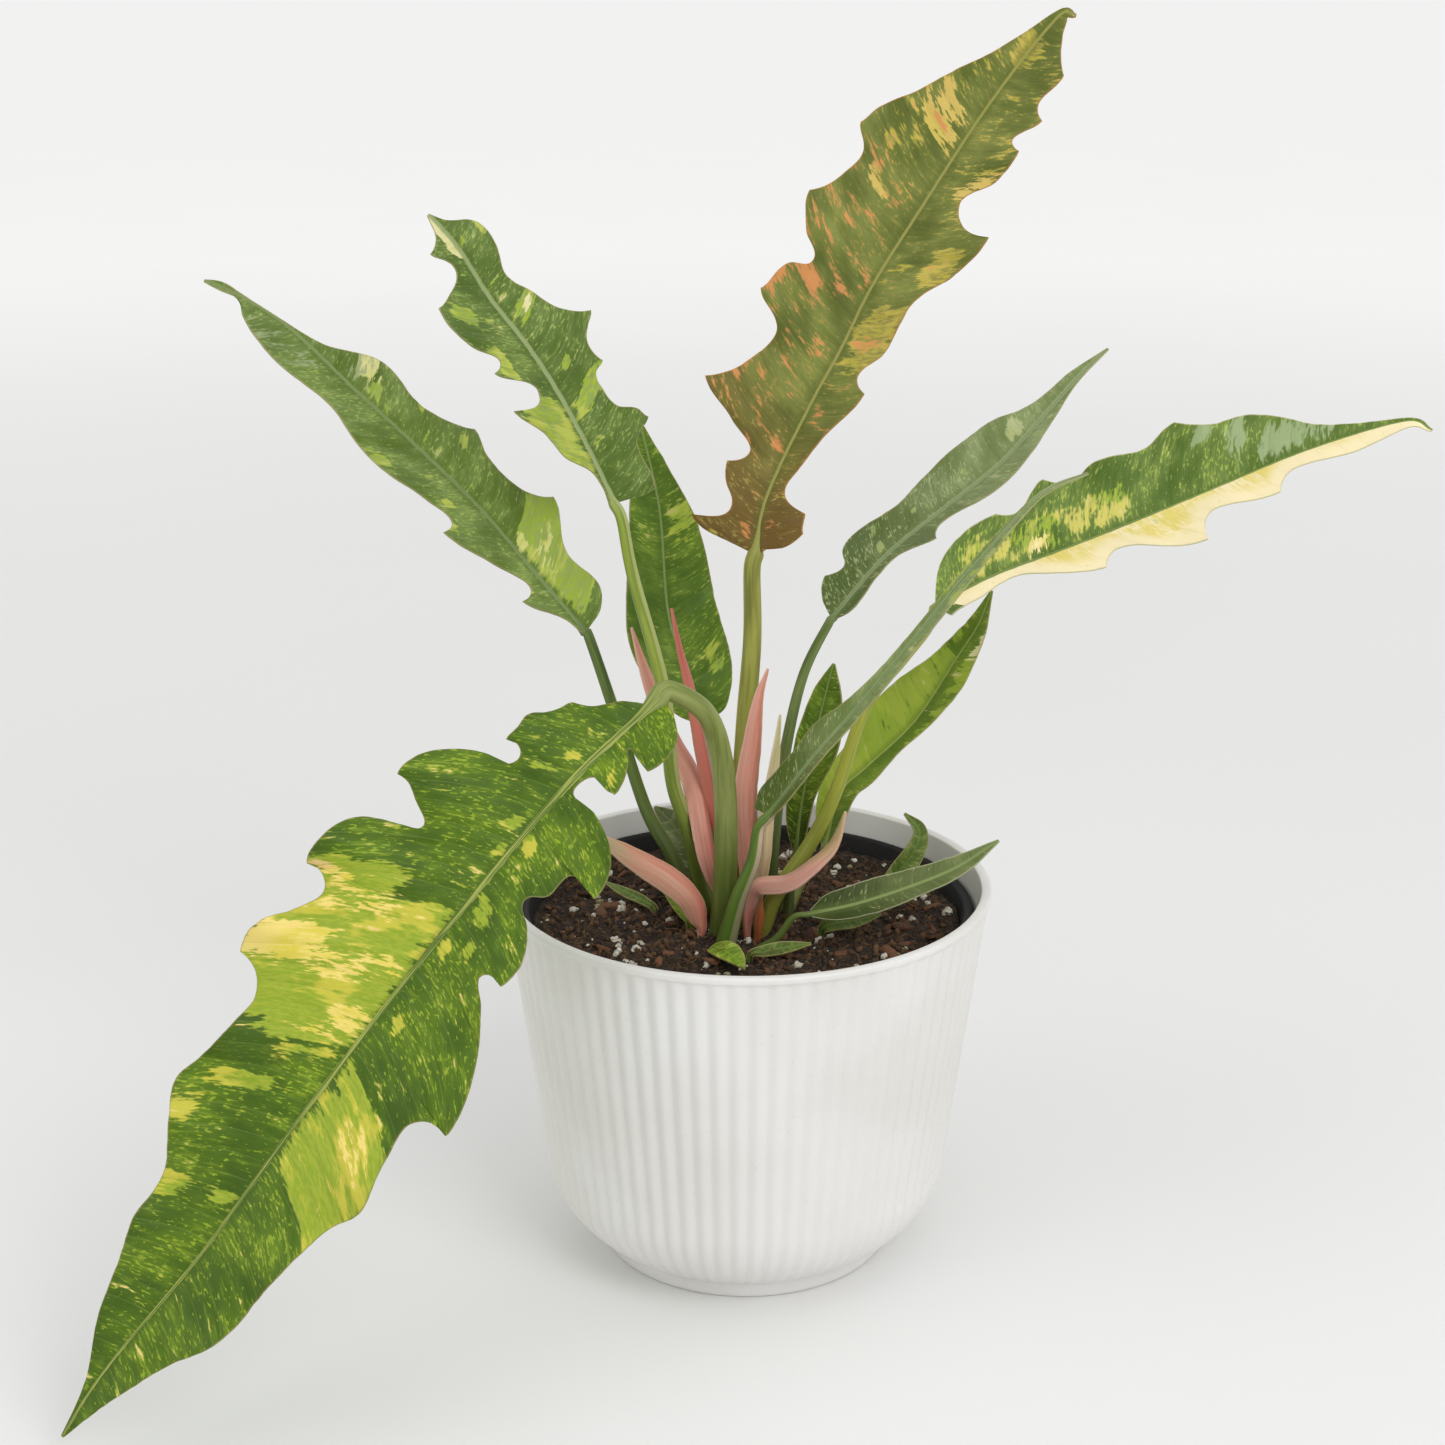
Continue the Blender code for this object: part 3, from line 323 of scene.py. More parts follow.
POT_TOP = 122.5
POT_MOUTH_RADIUS = 74.5
POT_BASE_RADIUS = 50.0
POT_WALL = 1.0
COLLAR_WIDTH = 2.2
COLLAR_HEIGHT = 3.5
COLLAR_ROUND = 0.8  # height of the collar's rounded top
GAP = 0.3  # left between pieces that stand in or on each other
POT_FLOOR = FLOOR_HEIGHT + GAP


def pot_inner_radius(height):
    """Radius of the nursery pot's inside, which widens evenly towards the mouth."""
    floor = POT_FLOOR + POT_WALL
    share = (height - floor) / (POT_TOP - floor)
    narrow = POT_BASE_RADIUS - POT_WALL
    return narrow + share * (POT_MOUTH_RADIUS - POT_WALL - narrow)


def pot_skin():
    """The wall from the middle of the underside up to the collar, over it and down the inside. The
    collar's top is half an ellipse from its outer edge to the mouth."""
    collar = POT_TOP - COLLAR_HEIGHT
    outer = POT_MOUTH_RADIUS + COLLAR_WIDTH
    rows = [(0.0, POT_FLOOR), (POT_BASE_RADIUS - 1.0, POT_FLOOR)]
    rows.append((POT_BASE_RADIUS, POT_FLOOR + 1.0))
    rows += [(pot_inner_radius(h) + POT_WALL, h) for h in np.linspace(POT_FLOOR + 8.0, collar, 8)]
    rows += [(outer - 0.4, collar), (outer, collar + 0.5), (outer, POT_TOP - COLLAR_ROUND)]
    inner = pot_inner_radius(POT_TOP)
    for angle in np.linspace(0.2, math.pi - 0.2, 9):
        across = 0.5 * (outer + inner) + 0.5 * (outer - inner) * math.cos(angle)
        rows.append((across, POT_TOP - COLLAR_ROUND * (1 - math.sin(angle))))
    rows += [(pot_inner_radius(h), h) for h in np.linspace(POT_TOP - 0.9, POT_FLOOR + 3.0, 9)]
    rows += [(POT_BASE_RADIUS - POT_WALL - 1.0, POT_FLOOR + POT_WALL), (0.0, POT_FLOOR + POT_WALL)]
    radii, heights = np.array(rows).T
    return turned_skin(radii, heights, 160)


def black_plastic():
    """Black, greyed by fine scuffs, with peat dust in blots."""
    finish = Finish("black_plastic")
    place = finish.object_place()
    scuff = finish.cloud(place, 700.0, 4.0, 0.7).between(0.55, 0.75)
    dust = finish.cloud(place, 60.0, 4.0, 0.6).between(0.52, 0.7)
    colour = scuff.tint((17, 17, 19), (40, 40, 42))
    colour = (0.6 * dust).tint(colour, (62, 44, 34))
    return finish.coat(colour, 0.55 + 0.25 * dust, scuff, 0.04, gloss=0.25)


add_piece("nursery_pot_moulded", pot_skin(), black_plastic(), ["nursery_pot"])

# Soil
# Coarse peat mixed with white perlite, chips of bark and fine root fibre, filled by hand nearly to
# the mouth of the nursery pot and settled by watering.

SOIL_TOP = 115.5
SOIL_FLOOR = POT_FLOOR + POT_WALL + GAP
SOIL_LUMPS = ((11.0, 2.4, 1), (4.6, 1.9, 2), (2.1, 1.1, 3), (1.1, 0.6, 4))  # size, rise and seed
CROWN_PLACE = (-2, 0)
STEM_FEET = np.array(  # where the thicker stems stand, which the grains keep clear of
    [CROWN_PLACE, (-8, -12), (-16, 0), (-13, 9), (-8, 16), (-1, 15), (8, 13), (5, -11), (-7, -22),
     (14, 6)]
)


def lumps(x, y, size, seed):
    """Smooth random relief from 0 to 1: random heights on a square lattice of that size, and
    between them the blend a + (b - a) * (3 t t - 2 t t t) along x and then along y."""
    heights = np.random.default_rng(seed).random((256, 256))
    u, v = x / size + 128, y / size + 128
    i, j = np.floor(u).astype(int) % 255, np.floor(v).astype(int) % 255
    s, t = u - np.floor(u), v - np.floor(v)
    s, t = s * s * (3 - 2 * s), t * t * (3 - 2 * t)
    low = heights[i, j] + (heights[i + 1, j] - heights[i, j]) * s
    high = heights[i, j + 1] + (heights[i + 1, j + 1] - heights[i, j + 1]) * s
    return low + (high - low) * t


def soil_height(x, y):
    """The settled surface: a gentle swell, 1.5 * (distance / mouth radius) ** 4 more towards the
    wall, and clods, crumbs and grit from lumps of four sizes."""
    settled = SOIL_TOP + 0.9 * np.sin(0.11 * x + 0.7) * np.cos(0.13 * y)
    settled = settled + 1.5 * (np.hypot(x, y) / POT_MOUTH_RADIUS) ** 4
    for size, rise, seed in SOIL_LUMPS:
        settled = settled + rise * (lumps(x, y, size, seed) - 0.5)
    return settled


def soil_skin():
    """A turned plug. Its top rings, from the wall to the middle, have the heights of the soil."""
    angle = full_circle(300)
    wall = pot_inner_radius(SOIL_TOP + 1.5) - 0.2
    radii = np.r_[pot_inner_radius(SOIL_FLOOR) - 0.4, wall - 0.1, np.linspace(wall, 0.7, 92)]
    x, y = radii[:, None] * np.cos(angle), radii[:, None] * np.sin(angle)
    z = soil_height(x, y)
    z[0], z[1] = SOIL_FLOOR, SOIL_TOP - 4.0
    return close_rings(np.stack([x, y, z], axis=-1), (0.0, 0.0, SOIL_FLOOR))


def peat():
    """Near-black peat with brown fibre, lighter on raised clods, painted shade in its hollows."""
    finish = Finish("peat")
    place = finish.object_place()
    clods = finish.cloud(place, 210.0, 5.0, 0.7)
    grit = finish.cloud(place, 1500.0, 4.0, 0.75)
    colour = clods.between(0.38, 0.66).tint((24, 18, 13), (68, 50, 35))
    colour = grit.between(0.52, 0.7).tint(colour, (104, 79, 55))
    # Painted shade: nearly black where the grit is low, in the hollows of the relief.
    colour = grit.between(0.5, 0.36).tint(colour, (11, 9, 7))
    return finish.coat(colour, 0.92, clods + 0.8 * grit, 1.0)


def turns(x, y, z):
    """Turning matrices from arrays of angles: about x, then y, then z."""
    zero, one = 0 * x, 0 * x + 1
    about_x = [[one, zero, zero], [zero, np.cos(x), -np.sin(x)], [zero, np.sin(x), np.cos(x)]]
    about_y = [[np.cos(y), zero, np.sin(y)], [zero, one, zero], [-np.sin(y), zero, np.cos(y)]]
    about_z = [[np.cos(z), -np.sin(z), zero], [np.sin(z), np.cos(z), zero], [zero, zero, one]]
    by_x, by_y, by_z = (np.moveaxis(np.array(rows), -1, 0) for rows in (about_x, about_y, about_z))
    return by_z @ by_y @ by_x


def pebble(rows, columns, squareness):
    """A lump one unit in radius: a ball whose sines and cosines are raised to the squareness, so
    that below 1 it nears a box."""
    along = np.linspace(0, np.pi, rows + 2)[1:-1, None]
    angle = full_circle(columns)

    def bend(wave):
        return np.sign(wave) * np.abs(wave) ** squareness

    reach = bend(np.sin(along))
    level = -bend(np.cos(along)) + 0 * angle
    rings = np.stack([reach * bend(np.cos(angle)), reach * bend(np.sin(angle)), level], axis=-1)
    return close_rings(rings, (0.0, 0.0, -1.0), (0.0, 0.0, 1.0))


def scatter(shape, count, sizes, stretch, tilt, sunk, seed, dents):
    """Copies of one shape over the soil. Each is the shape * stretch * its own size, turned, and
    set at its own place on the surface, lower by the share sunk of its half height. Each
    carries a random shade from 0 to 1. Copies that would stand in a stem are left out."""
    rng = np.random.default_rng(seed)
    points, triangles = shape
    reach = (pot_inner_radius(SOIL_TOP) - 2.5) * np.sqrt(rng.random(count))
    angle = 2 * np.pi * rng.random(count)
    x, y = reach * np.cos(angle), reach * np.sin(angle)
    size = sizes[0] + (sizes[1] - sizes[0]) * rng.random(count) ** 2
    gaps = np.hypot(x[:, None] - STEM_FEET[:, 0], y[:, None] - STEM_FEET[:, 1]).min(axis=1)
    keep = gaps > 3.0 + size
    x, y, size = x[keep], y[keep], size[keep]
    count = len(x)
    turn = turns(*(tilt * (2 * rng.random((2, count)) - 1)), 2 * np.pi * rng.random(count))
    lumpy = points * (1 + dents * (rng.random((count, len(points), 1)) - 0.5))
    grown = lumpy * (np.asarray(stretch) * size[:, None])[:, None, :]
    placed = np.einsum("nij,nvj->nvi", turn, grown)
    level = soil_height(x, y) + size * stretch[2] * (1 - 2 * sunk)
    placed += np.stack([x, y, level], axis=1)[:, None]
    shade = np.broadcast_to(rng.random((count, 1, 1)), (*placed.shape[:2], 1))
    marked = np.concatenate([placed, shade], axis=2).reshape(-1, 4)
    counted = triangles[None] + len(points) * np.arange(count)[:, None, None]
    return marked, counted.reshape(-1, 3)


def grain_finish(name, dark, light, roughness, size):
    """One colour for each grain, between dark and light, with mottling of the given size."""
    finish = Finish(name)
    mottle = finish.cloud(finish.object_place(), 1000.0 / size, 4.0, 0.65)
    shade = finish.mark("shade", "Fac")
    colour = (0.6 * shade + 0.6 * mottle - 0.1).tint(dark, light)
    return finish.coat(colour, roughness, mottle, 0.25)


def fibre_shape():
    """A thin curved strand one unit in half length: a tube along (t, 0.25 t t, 0.15 sin 3 t)."""
    t = np.linspace(-1, 1, 7)[:, None]
    angle = full_circle(4)
    thin = 0.035 * (1.1 - t**2)
    across, up = thin * np.cos(angle), thin * np.sin(angle)
    rings = np.stack([t + 0 * up, 0.25 * t**2 + across, 0.15 * np.sin(3 * t) + up], axis=-1)
    return close_rings(rings)


add_piece("soil_surface", soil_skin(), peat(), ["soil"], sharp_degrees=180.0)
for name, shape, count, sizes, stretch, tilt, sunk, seed, dents, finish in (
    ("peat_crumbs", pebble(3, 6, 1.0), 3200, (0.35, 1.7), (1.0, 0.75, 0.6), 1.2, 0.4, 21, 0.6,
     grain_finish("peat_crumb", (18, 13, 10), (118, 87, 58), 0.92, 0.8)),
    ("perlite_grains", pebble(5, 8, 0.8), 230, (0.3, 1.9), (1.0, 0.85, 0.75), 0.8, 0.45, 22, 0.75,
     grain_finish("perlite", (178, 170, 148), (240, 236, 224), 0.85, 0.7)),
    ("bark_chips", pebble(4, 8, 0.55), 120, (1.2, 5.0), (1.0, 0.45, 0.22), 0.6, 0.4, 23, 0.3,
     grain_finish("bark", (44, 27, 19), (126, 84, 54), 0.88, 1.0)),
    ("gravel_bits", pebble(5, 8, 0.8), 24, (0.9, 1.9), (1.0, 0.8, 0.6), 0.5, 0.35, 24, 0.25,
     grain_finish("gravel", (118, 114, 74), (190, 184, 144), 0.7, 1.0)),
    ("root_fibres", fibre_shape(), 1700, (0.8, 3.6), (1.0, 1.0, 1.0), 0.6, -0.02, 25, 0.0,
     grain_finish("root_fibre", (44, 30, 19), (136, 101, 66), 0.9, 1.0)),
):
    grains = scatter(shape, count, sizes, stretch, tilt, sunk, seed, dents)
    add_piece(name, grains, finish, marks=[("shade", 1)], sharp_degrees=70.0)

# Crown
# The short thick stem at the middle of the plant, half in the soil. The scars of shed leaves run
# round it in rings, and the stalks and sheaths stand close about it.

CROWN_RADIUS = 8.5
CROWN_TOP = 122.0
SCAR_SPACING = 2.6
SCAR_DEPTH = 0.5
HOLE_DEPTH = 9.0
HOLE_FLOOR = SOIL_TOP - HOLE_DEPTH + GAP  # where every stem starts, in its hole in the soil


def crown_skin():
    """A turned stub. At each ring scar it thins by depth * |sin(pi * height / spacing)| ** 6."""
    heights = np.linspace(HOLE_FLOOR, CROWN_TOP - 1.0, 50)
    radii = CROWN_RADIUS - 0.25 - SCAR_DEPTH * np.abs(np.sin(heights * np.pi / SCAR_SPACING)) ** 6
    radii = np.r_[0.0, radii, CROWN_RADIUS - 1.6, CROWN_RADIUS - 3.0, 0.0]
    heights = np.r_[heights[0], heights, CROWN_TOP - 0.3, CROWN_TOP, CROWN_TOP]
    points, triangles = turned_skin(radii, heights, 48)
    return points + np.array([*CROWN_PLACE, 0.0]), triangles


def stem_bark():
    """Olive green over brown scars."""
    finish = Finish("crown_bark")
    place = finish.object_place()
    mottle = finish.cloud(place, 420.0, 4.0, 0.6)
    colour = mottle.between(0.4, 0.62).tint((92, 62, 38), (122, 124, 62))
    return finish.coat(colour, 0.55, mottle, 0.3)


add_piece("crown_stub", crown_skin(), stem_bark(), ["crown"])

# Front leaf
# The largest leaf, grown and not made: a fleshy stalk arches forward out of the crown and carries
# on as the midrib of a long toothed blade that hangs past the planter. Every leaf below is built
# by this section's functions.

VEIN_LEAN = 0.24  # how far a side vein runs forward for each unit that it runs out, at the midrib
VEIN_BEND = 0.29  # what its mean lean gains by the widest part of the margin
PATCH_LEAN = 0.55  # the lean of a patch's ends
ROW_LEAN = 0.3  # the lean of the mesh's rows
RIB_HALF_WIDTH = 1.5
TIP_HALF_WIDTH = 0.5
FOLD_DEGREES = 11.0  # how far each half rises from flat
BLADE_THICKNESS = (0.9, 0.5)  # beside the midrib and at the margin
RIPPLE = 0.12
RIPPLE_LENGTH = 31.0
RIPPLE_WAY = np.array([0.0, -0.95, 0.31])  # ripples rise to the front and leave the outline alone
MARGIN_STEP = 1.1
TOOTH_TURN_DEGREES = 50.0  # a margin that turns in by more than this comes to a point
TOOTH_BULGE_DEGREES = 22.0  # how round the margin is on its way to that point
TOOTH_HOLLOW_DEGREES = 16.0  # and how hollow beyond it
RAGGEDNESS = 0.25
RAGGED_LENGTH = 3.2
BLADE_COLUMNS = 16
VEIN_SPACING = 7.0
FULL_CUSHION_WIDTH = 18.0  # where a half is narrower, its cushions are lower
WARP = 2.2  # rise of the broad uneven waves, for each unit of quilt
WARP_LENGTH = 13.0
SLIT = 0.2  # half the slit between a leaf's halves, which the midrib fills
STEM_SIDES = 18
STEM_FLATNESS = 0.92  # a stem's height for a width of 1
FOOT_SWELL = 0.10  # how much thicker a stalk is at its foot
FOOT_SWELL_LENGTH = 9.0
RIB_SINK = 0.51  # how deep a midrib's middle lies under the blade's face, for a radius of 1
SETTLE_LENGTH = 9.0  # how far past the blade's foot a stalk has thinned and sunk to a midrib
GROOVE_DEPTH = 0.16
GROOVE_SPREAD = 0.5  # in radians
PALE_EDGE = (176, 160, 112)
DRY_TAN = (190, 170, 120)
PATCH_KINDS = ("lime", "cream", "accent", "dark")
LEAF_MARKS = [("vein", 3), ("patches", 4), ("under", 1)]
STEM_MARKS = [("grain", 3)]


def unit(vectors):
    """Vectors brought to length 1."""
    return vectors / np.maximum(np.linalg.norm(vectors, axis=-1, keepdims=True), 1e-9)


def smooth_route(points, count):
    """A smooth curve through the points, where each span is a cubic whose slope at a point follows
    its two neighbours. It gives places, distances and directions at even steps of its length."""
    knots = np.asarray(points, float)
    knots = np.vstack([2 * knots[0] - knots[1], knots, 2 * knots[-1] - knots[-2]])
    t = np.linspace(0, 1, 24, endpoint=False)[:, None]
    pieces = []
    for a, b, c, d in zip(knots, knots[1:], knots[2:], knots[3:]):
        bend = (2 * a - 5 * b + 4 * c - d) * t**2 + (3 * b - a - 3 * c + d) * t**3
        pieces.append(0.5 * (2 * b + (c - a) * t + bend))
    fine = np.vstack([*pieces, knots[-2][None]])
    run = np.r_[0, np.cumsum(np.linalg.norm(np.diff(fine, axis=0), axis=1))]
    even = np.linspace(0, run[-1], count)
    places = np.stack([np.interp(even, run, fine[:, axis]) for axis in range(3)], axis=1)
    return places, even, unit(np.gradient(places, axis=0))


class Rib:
    """A blade's midrib: its route, and the way the blade faces and spreads along it. The face
    turns evenly from the foot's to the tip's, and is then made square to the route."""

    def __init__(self, route, faces):
        self.places, self.run, self.directions = smooth_route(route, 241)
        self.length = self.run[-1]
        share = (self.run / self.length)[:, None]
        face = np.asarray(faces[0]) * (1 - share) + np.asarray(faces[1]) * share
        askew = (face * self.directions).sum(axis=1)[:, None] * self.directions
        self.normals = unit(face - askew)
        self.sides = np.cross(self.directions, self.normals)

    def on_leaf(self, along, out, lift):
        """Places by the distance along the rib, out from it and up from it."""
        inside = np.clip(along, 0, self.length)
        place, direction, side, normal = (
            np.stack([np.interp(inside, self.run, rows[:, k]) for k in range(3)], axis=-1)
            for rows in (self.places, self.directions, self.sides, self.normals)
        )
        beyond = (along - inside)[..., None]
        return place + beyond * direction + out[..., None] * side + lift[..., None] * normal


def swing(vectors, degrees):
    """Flat vectors turned anticlockwise: x cos - y sin, x sin + y cos."""
    turn = math.radians(degrees)
    matrix = np.array([[math.cos(turn), math.sin(turn)], [-math.sin(turn), math.cos(turn)]])
    return vectors @ matrix


def margin_curve(knots, length, seed):
    """The margin at even steps: distance along the rib, distance out from it, and the place on the
    rib that the mesh's row to it leaves. Between two knots it is a cubic with a tangent at each. A
    tangent follows both neighbours, save at a tooth's point, where the curve comes in bulging
    and goes out hollow."""
    knots = np.array([(0.0, RIB_HALF_WIDTH), *knots, (length, TIP_HALF_WIDTH)], float)
    chords = np.diff(knots, axis=0)
    spans = np.linalg.norm(chords, axis=1)
    ways = chords / spans[:, None]
    before, after = ways[:-1], ways[1:]
    smooth = unit(before * spans[1:, None] + after * spans[:-1, None])
    cross = before[:, 0] * after[:, 1] - before[:, 1] * after[:, 0]
    turn = np.degrees(np.arctan2(cross, (before * after).sum(axis=1)))
    point = (turn < -TOOTH_TURN_DEGREES)[:, None]
    hollow, bulge = swing(after, -TOOTH_HOLLOW_DEGREES), swing(before, -TOOTH_BULGE_DEGREES)
    leave = np.vstack([ways[:1], np.where(point, hollow, smooth)]) * spans[:, None]
    arrive = np.vstack([np.where(point, bulge, smooth), ways[-1:]]) * spans[:, None]
    counts = np.maximum(np.ceil(spans / MARGIN_STEP).astype(int), 2)
    span = np.repeat(np.arange(len(spans)), counts)
    steps = np.arange(len(span)) - np.repeat(np.cumsum(counts) - counts, counts)
    t = (steps / counts[span])[:, None]
    places = (
        knots[span] * (2 * t**3 - 3 * t**2 + 1)
        + leave[span] * (t**3 - 2 * t**2 + t)
        + knots[span + 1] * (3 * t**2 - 2 * t**3)
        + arrive[span] * (t**3 - t**2)
    )
    along, out = np.vstack([places, knots[-1:]]).T
    run = np.arange(len(out)) * MARGIN_STEP
    rough = lumps(run, 0 * run, RAGGED_LENGTH, seed) - 0.5
    rough = rough + 0.5 * (lumps(run, 0 * run, RAGGED_LENGTH / 2, seed + 1) - 0.5)
    out = np.maximum(out + RAGGEDNESS * rough * np.clip(out / 4, 0, 1), 0.3)
    origin = np.maximum.accumulate(np.clip(along - ROW_LEAN * out, 0, length))
    share = np.linspace(0, 1, len(out))
    origin = 0.95 * origin + 0.05 * length * share
    return along, out, origin + share**12 * (length - origin)


def patch_amounts(patches, origin, reach, side):
    """How much of each kind of marking lies at a point. A patch runs from one side vein to another
    and from one distance off the rib to another. Its amount is the product of two ramps,
    0.5 + depth / softness, one by the depth inside it along the rib and one by the depth out
    from it. It fades further out from the rib than along it. A patch lies on the half that its
    middle is on. Its last number, where it has a fifth, is its share of the full amount: a share
    near a half breaks the patch up, and one above 1 keeps it whole."""
    amounts = []
    for kind in PATCH_KINDS:
        most = np.zeros_like(origin)
        for start, end, near, far, *shares in dict(patches).get(kind, ()):
            if side * (near + far) < 0:
                continue
            half_run, half_out = (end - start) / 2, abs(far - near) / 2
            along = half_run - np.abs(origin - (start + end) / 2)
            outward = half_out - np.abs(reach - (near + far) / 2)
            amount = np.clip(0.5 + along / min(4.0, 1.5 * half_run), 0, 1)
            amount = amount * np.clip(0.5 + outward / min(max(1.2 * half_out, 2.0), 12.0), 0, 1)
            most = np.maximum(most, amount * (shares[0] if shares else 1.0))
        amounts.append(most)
    return amounts


def blade_half(rib, knots, side, seed, patches=(), fold=FOLD_DEGREES, ripple=RIPPLE, curl=0.0,
               quilt=0.5, thickness=BLADE_THICKNESS, slit=SLIT):
    """One half of a blade, closed all round. On row i and column j, with part = j / columns but
    never less than the slit: out = margin out * part, along = origin + (margin along - origin) *
    part, and lift = out * sin fold * part ** curl, plus cushions between the side veins and a
    broad uneven warp, both by quilt. A side vein starts at along - out * (lean + bend * out /
    widest). The ripple, out * ripple * part * sine of the margin's run, rises to the front."""
    margin, width, origin = margin_curve(knots, rib.length, seed)
    widest = width.max()
    part = np.linspace(0, 1, BLADE_COLUMNS + 1)[None]
    part = part + (1 - part) * np.minimum(slit / width, 0.3)[:, None]
    margin, width, origin = margin[:, None], width[:, None], origin[:, None] + 0 * part
    reach = width * part
    along = origin + (margin - origin) * part
    wave = ripple * reach * part * np.sin(2 * np.pi * margin / RIPPLE_LENGTH + side)
    lift = reach * math.sin(math.radians(fold)) * part**curl
    vein = along - reach * (VEIN_LEAN + VEIN_BEND * reach / widest)
    cushion = 1 - np.abs(np.cos(np.pi * vein / VEIN_SPACING)) ** 5
    middle = (4 * part * (1 - part)) ** 0.7 * np.clip(width / FULL_CUSHION_WIDTH, 0, 1)
    lift = lift + quilt * (cushion - 0.5) * middle
    warp = lumps(along + 40 * side, reach, WARP_LENGTH, seed + 2) - 0.5
    lift = lift + WARP * quilt * warp * np.clip(reach / 8, 0, 1)
    flat = side * reach * math.cos(math.radians(fold))
    thick = thickness[1] + (thickness[0] - thickness[1]) * (1 - part) ** 2
    amounts = patch_amounts(patches, along - PATCH_LEAN * reach, side * reach, side)
    sheets = []
    for under in (0.0, 1.0):
        places = rib.on_leaf(along, flat, lift + thick * (0.5 - under))
        places = places + wave[..., None] * RIPPLE_WAY
        marks = [vein, side * reach, width - reach, *amounts, 0 * reach + under]
        sheets.append(np.concatenate([places, np.stack(marks, axis=-1)], axis=-1))
    rings = np.concatenate([sheets[0], sheets[1][:, ::-1]], axis=1)
    points, triangles = close_rings(rings)
    return points, triangles if side > 0 else triangles[:, ::-1]


def join_skins(skins):
    """Several skins as one: their points stacked and their triangles counted on."""
    starts = np.cumsum([0, *(len(points) for points, _ in skins)])
    triangles = [faces + start for (_, faces), start in zip(skins, starts)]
    return np.concatenate([points for points, _ in skins]), np.concatenate(triangles)


def blade_skin(rib, left, right, seed=31, **form):
    """Both halves of a blade, with reach counted negative on the left one. form is what
    blade_half takes from patches to slit, alike for both."""
    halves = [(left, -1, seed), (right, 1, seed + 5)]
    return join_skins([blade_half(rib, *half, **form) for half in halves])


def stem_skin(foot, way, girth, rib, rib_radii, bend):
    """A stalk and the midrib it runs on into, as one bar. At angle a round it a point stands at
    radius * (cos a * across + flatness * sin a * up). A shallow groove runs down the upper side,
    1 - depth * exp(-((a - up) / spread) ** 2). Each point carries cos a, sin a and the distance
    past the foot of the blade. girth is the stalk's radius at its foot and at the blade, and
    rib_radii are the midrib's at the blade's foot and at its tip. bend is how far below the blade
    the stalk turns its way. The midrib thins as (1 - along / length) ** 1.2 and sinks into the
    blade until about a quarter of its radius stands out."""
    start = rib.places[0]
    lead = rib.directions[0]
    bottom = np.array([*foot, HOLE_FLOOR])
    route = [(*foot, SOIL_TOP + 1.0), *way, start - bend * lead, start - 0.1 * bend * lead]
    stalk, run, directions = smooth_route(route, 70)
    share = (run / run[-1])[:, None]
    stalk_radii = girth[0] + (girth[1] - girth[0]) * share
    stalk_radii = stalk_radii * (1 + FOOT_SWELL * np.exp(-run[:, None] / FOOT_SWELL_LENGTH))
    rows = np.arange(0, len(rib.run), 2)
    along = rib.run[rows][:, None]
    thin = rib_radii[1] + (rib_radii[0] - rib_radii[1]) * (1 - along / rib.length) ** 1.2
    thin = np.minimum(thin, np.maximum(rib_radii[1] * 0.6, 0.06 * (rib.length - along) + 0.25))
    settle = np.clip(along / SETTLE_LENGTH, 0, 1) ** 0.6
    rib_girth = girth[1] * (1 - settle) + thin * settle
    rise = settle * (BLADE_THICKNESS[0] / 2 - RIB_SINK * rib_girth)
    middles = rib.places[rows] + rise * rib.normals[rows]
    places = np.vstack([bottom, stalk, middles])
    radii = np.vstack([stalk_radii[:1], stalk_radii, rib_girth])
    ahead = np.vstack([[0, 0, 1], directions, rib.directions[rows]])
    ups = np.vstack([np.tile(rib.normals[0], (len(stalk) + 1, 1)), rib.normals[rows]])
    ups = unit(ups - (ups * ahead).sum(axis=1)[:, None] * ahead)
    across = np.cross(ahead, ups)
    angle = full_circle(STEM_SIDES)
    groove = 1 - GROOVE_DEPTH * np.exp(-(((angle - np.pi / 2) / GROOVE_SPREAD) ** 2))
    wide = radii * groove * np.cos(angle)
    tall = STEM_FLATNESS * radii * groove * np.sin(angle)
    skin = places[:, None] + wide[..., None] * across[:, None] + tall[..., None] * ups[:, None]
    past = np.r_[-HOLE_DEPTH - run[-1], run - run[-1], rib.run[rows]][:, None] + 0 * angle
    marks = np.stack([np.cos(angle) + 0 * past, np.sin(angle) + 0 * past, past], axis=-1)
    return close_rings(np.concatenate([skin, marks], axis=-1))


def stalk_finish(name, light, dark, streak_and_foot_shade, rib, flank=None, strip=None):
    """Fleshy green skin with lengthwise streaks, painted shade darkening its foot where the stalks
    crowd together, and paling into the midrib. flank is the second colour of the midrib's lines.
    strip is where round the bar a paler strip runs up it, in degrees from its right to its upper
    side, and that strip's colour."""
    finish = Finish(name)
    x, y, past = finish.axes(finish.mark("grain"))
    fibre = finish.cloud(finish.spot(2.6 * x, 2.6 * y, 0.02 * past), 1.6, 3.0, 0.55)
    broad = finish.cloud(finish.spot(x, y, 0.04 * past), 0.9, 2.0)
    colour = (0.5 * fibre + broad).between(0.55, 0.95).tint(dark, light)
    colour = (0.4 * fibre.between(0.55, 0.68)).tint(colour, streak_and_foot_shade)
    if strip:
        turn = math.radians(strip[0])
        facing = math.cos(turn) * x + math.sin(turn) * y
        colour = (0.85 * facing.between(0.80, 0.93)).tint(colour, strip[1])
    # Painted shade: below 165 mm, and fully by 118 mm, the stalk darkens towards the streak colour
    # where the stalks crowd together above the soil.
    height = finish.axes(finish.object_place())[2]
    colour = (0.7 * height.between(0.165, 0.118)).tint(colour, streak_and_foot_shade)
    crest = fibre.between(0.46, 0.55).tint(flank or rib, rib)
    colour = past.between(-6.0, 10.0).tint(colour, crest)
    return finish.coat(colour, 0.36 + 0.12 * fibre, fibre, 0.1, gloss=0.35)


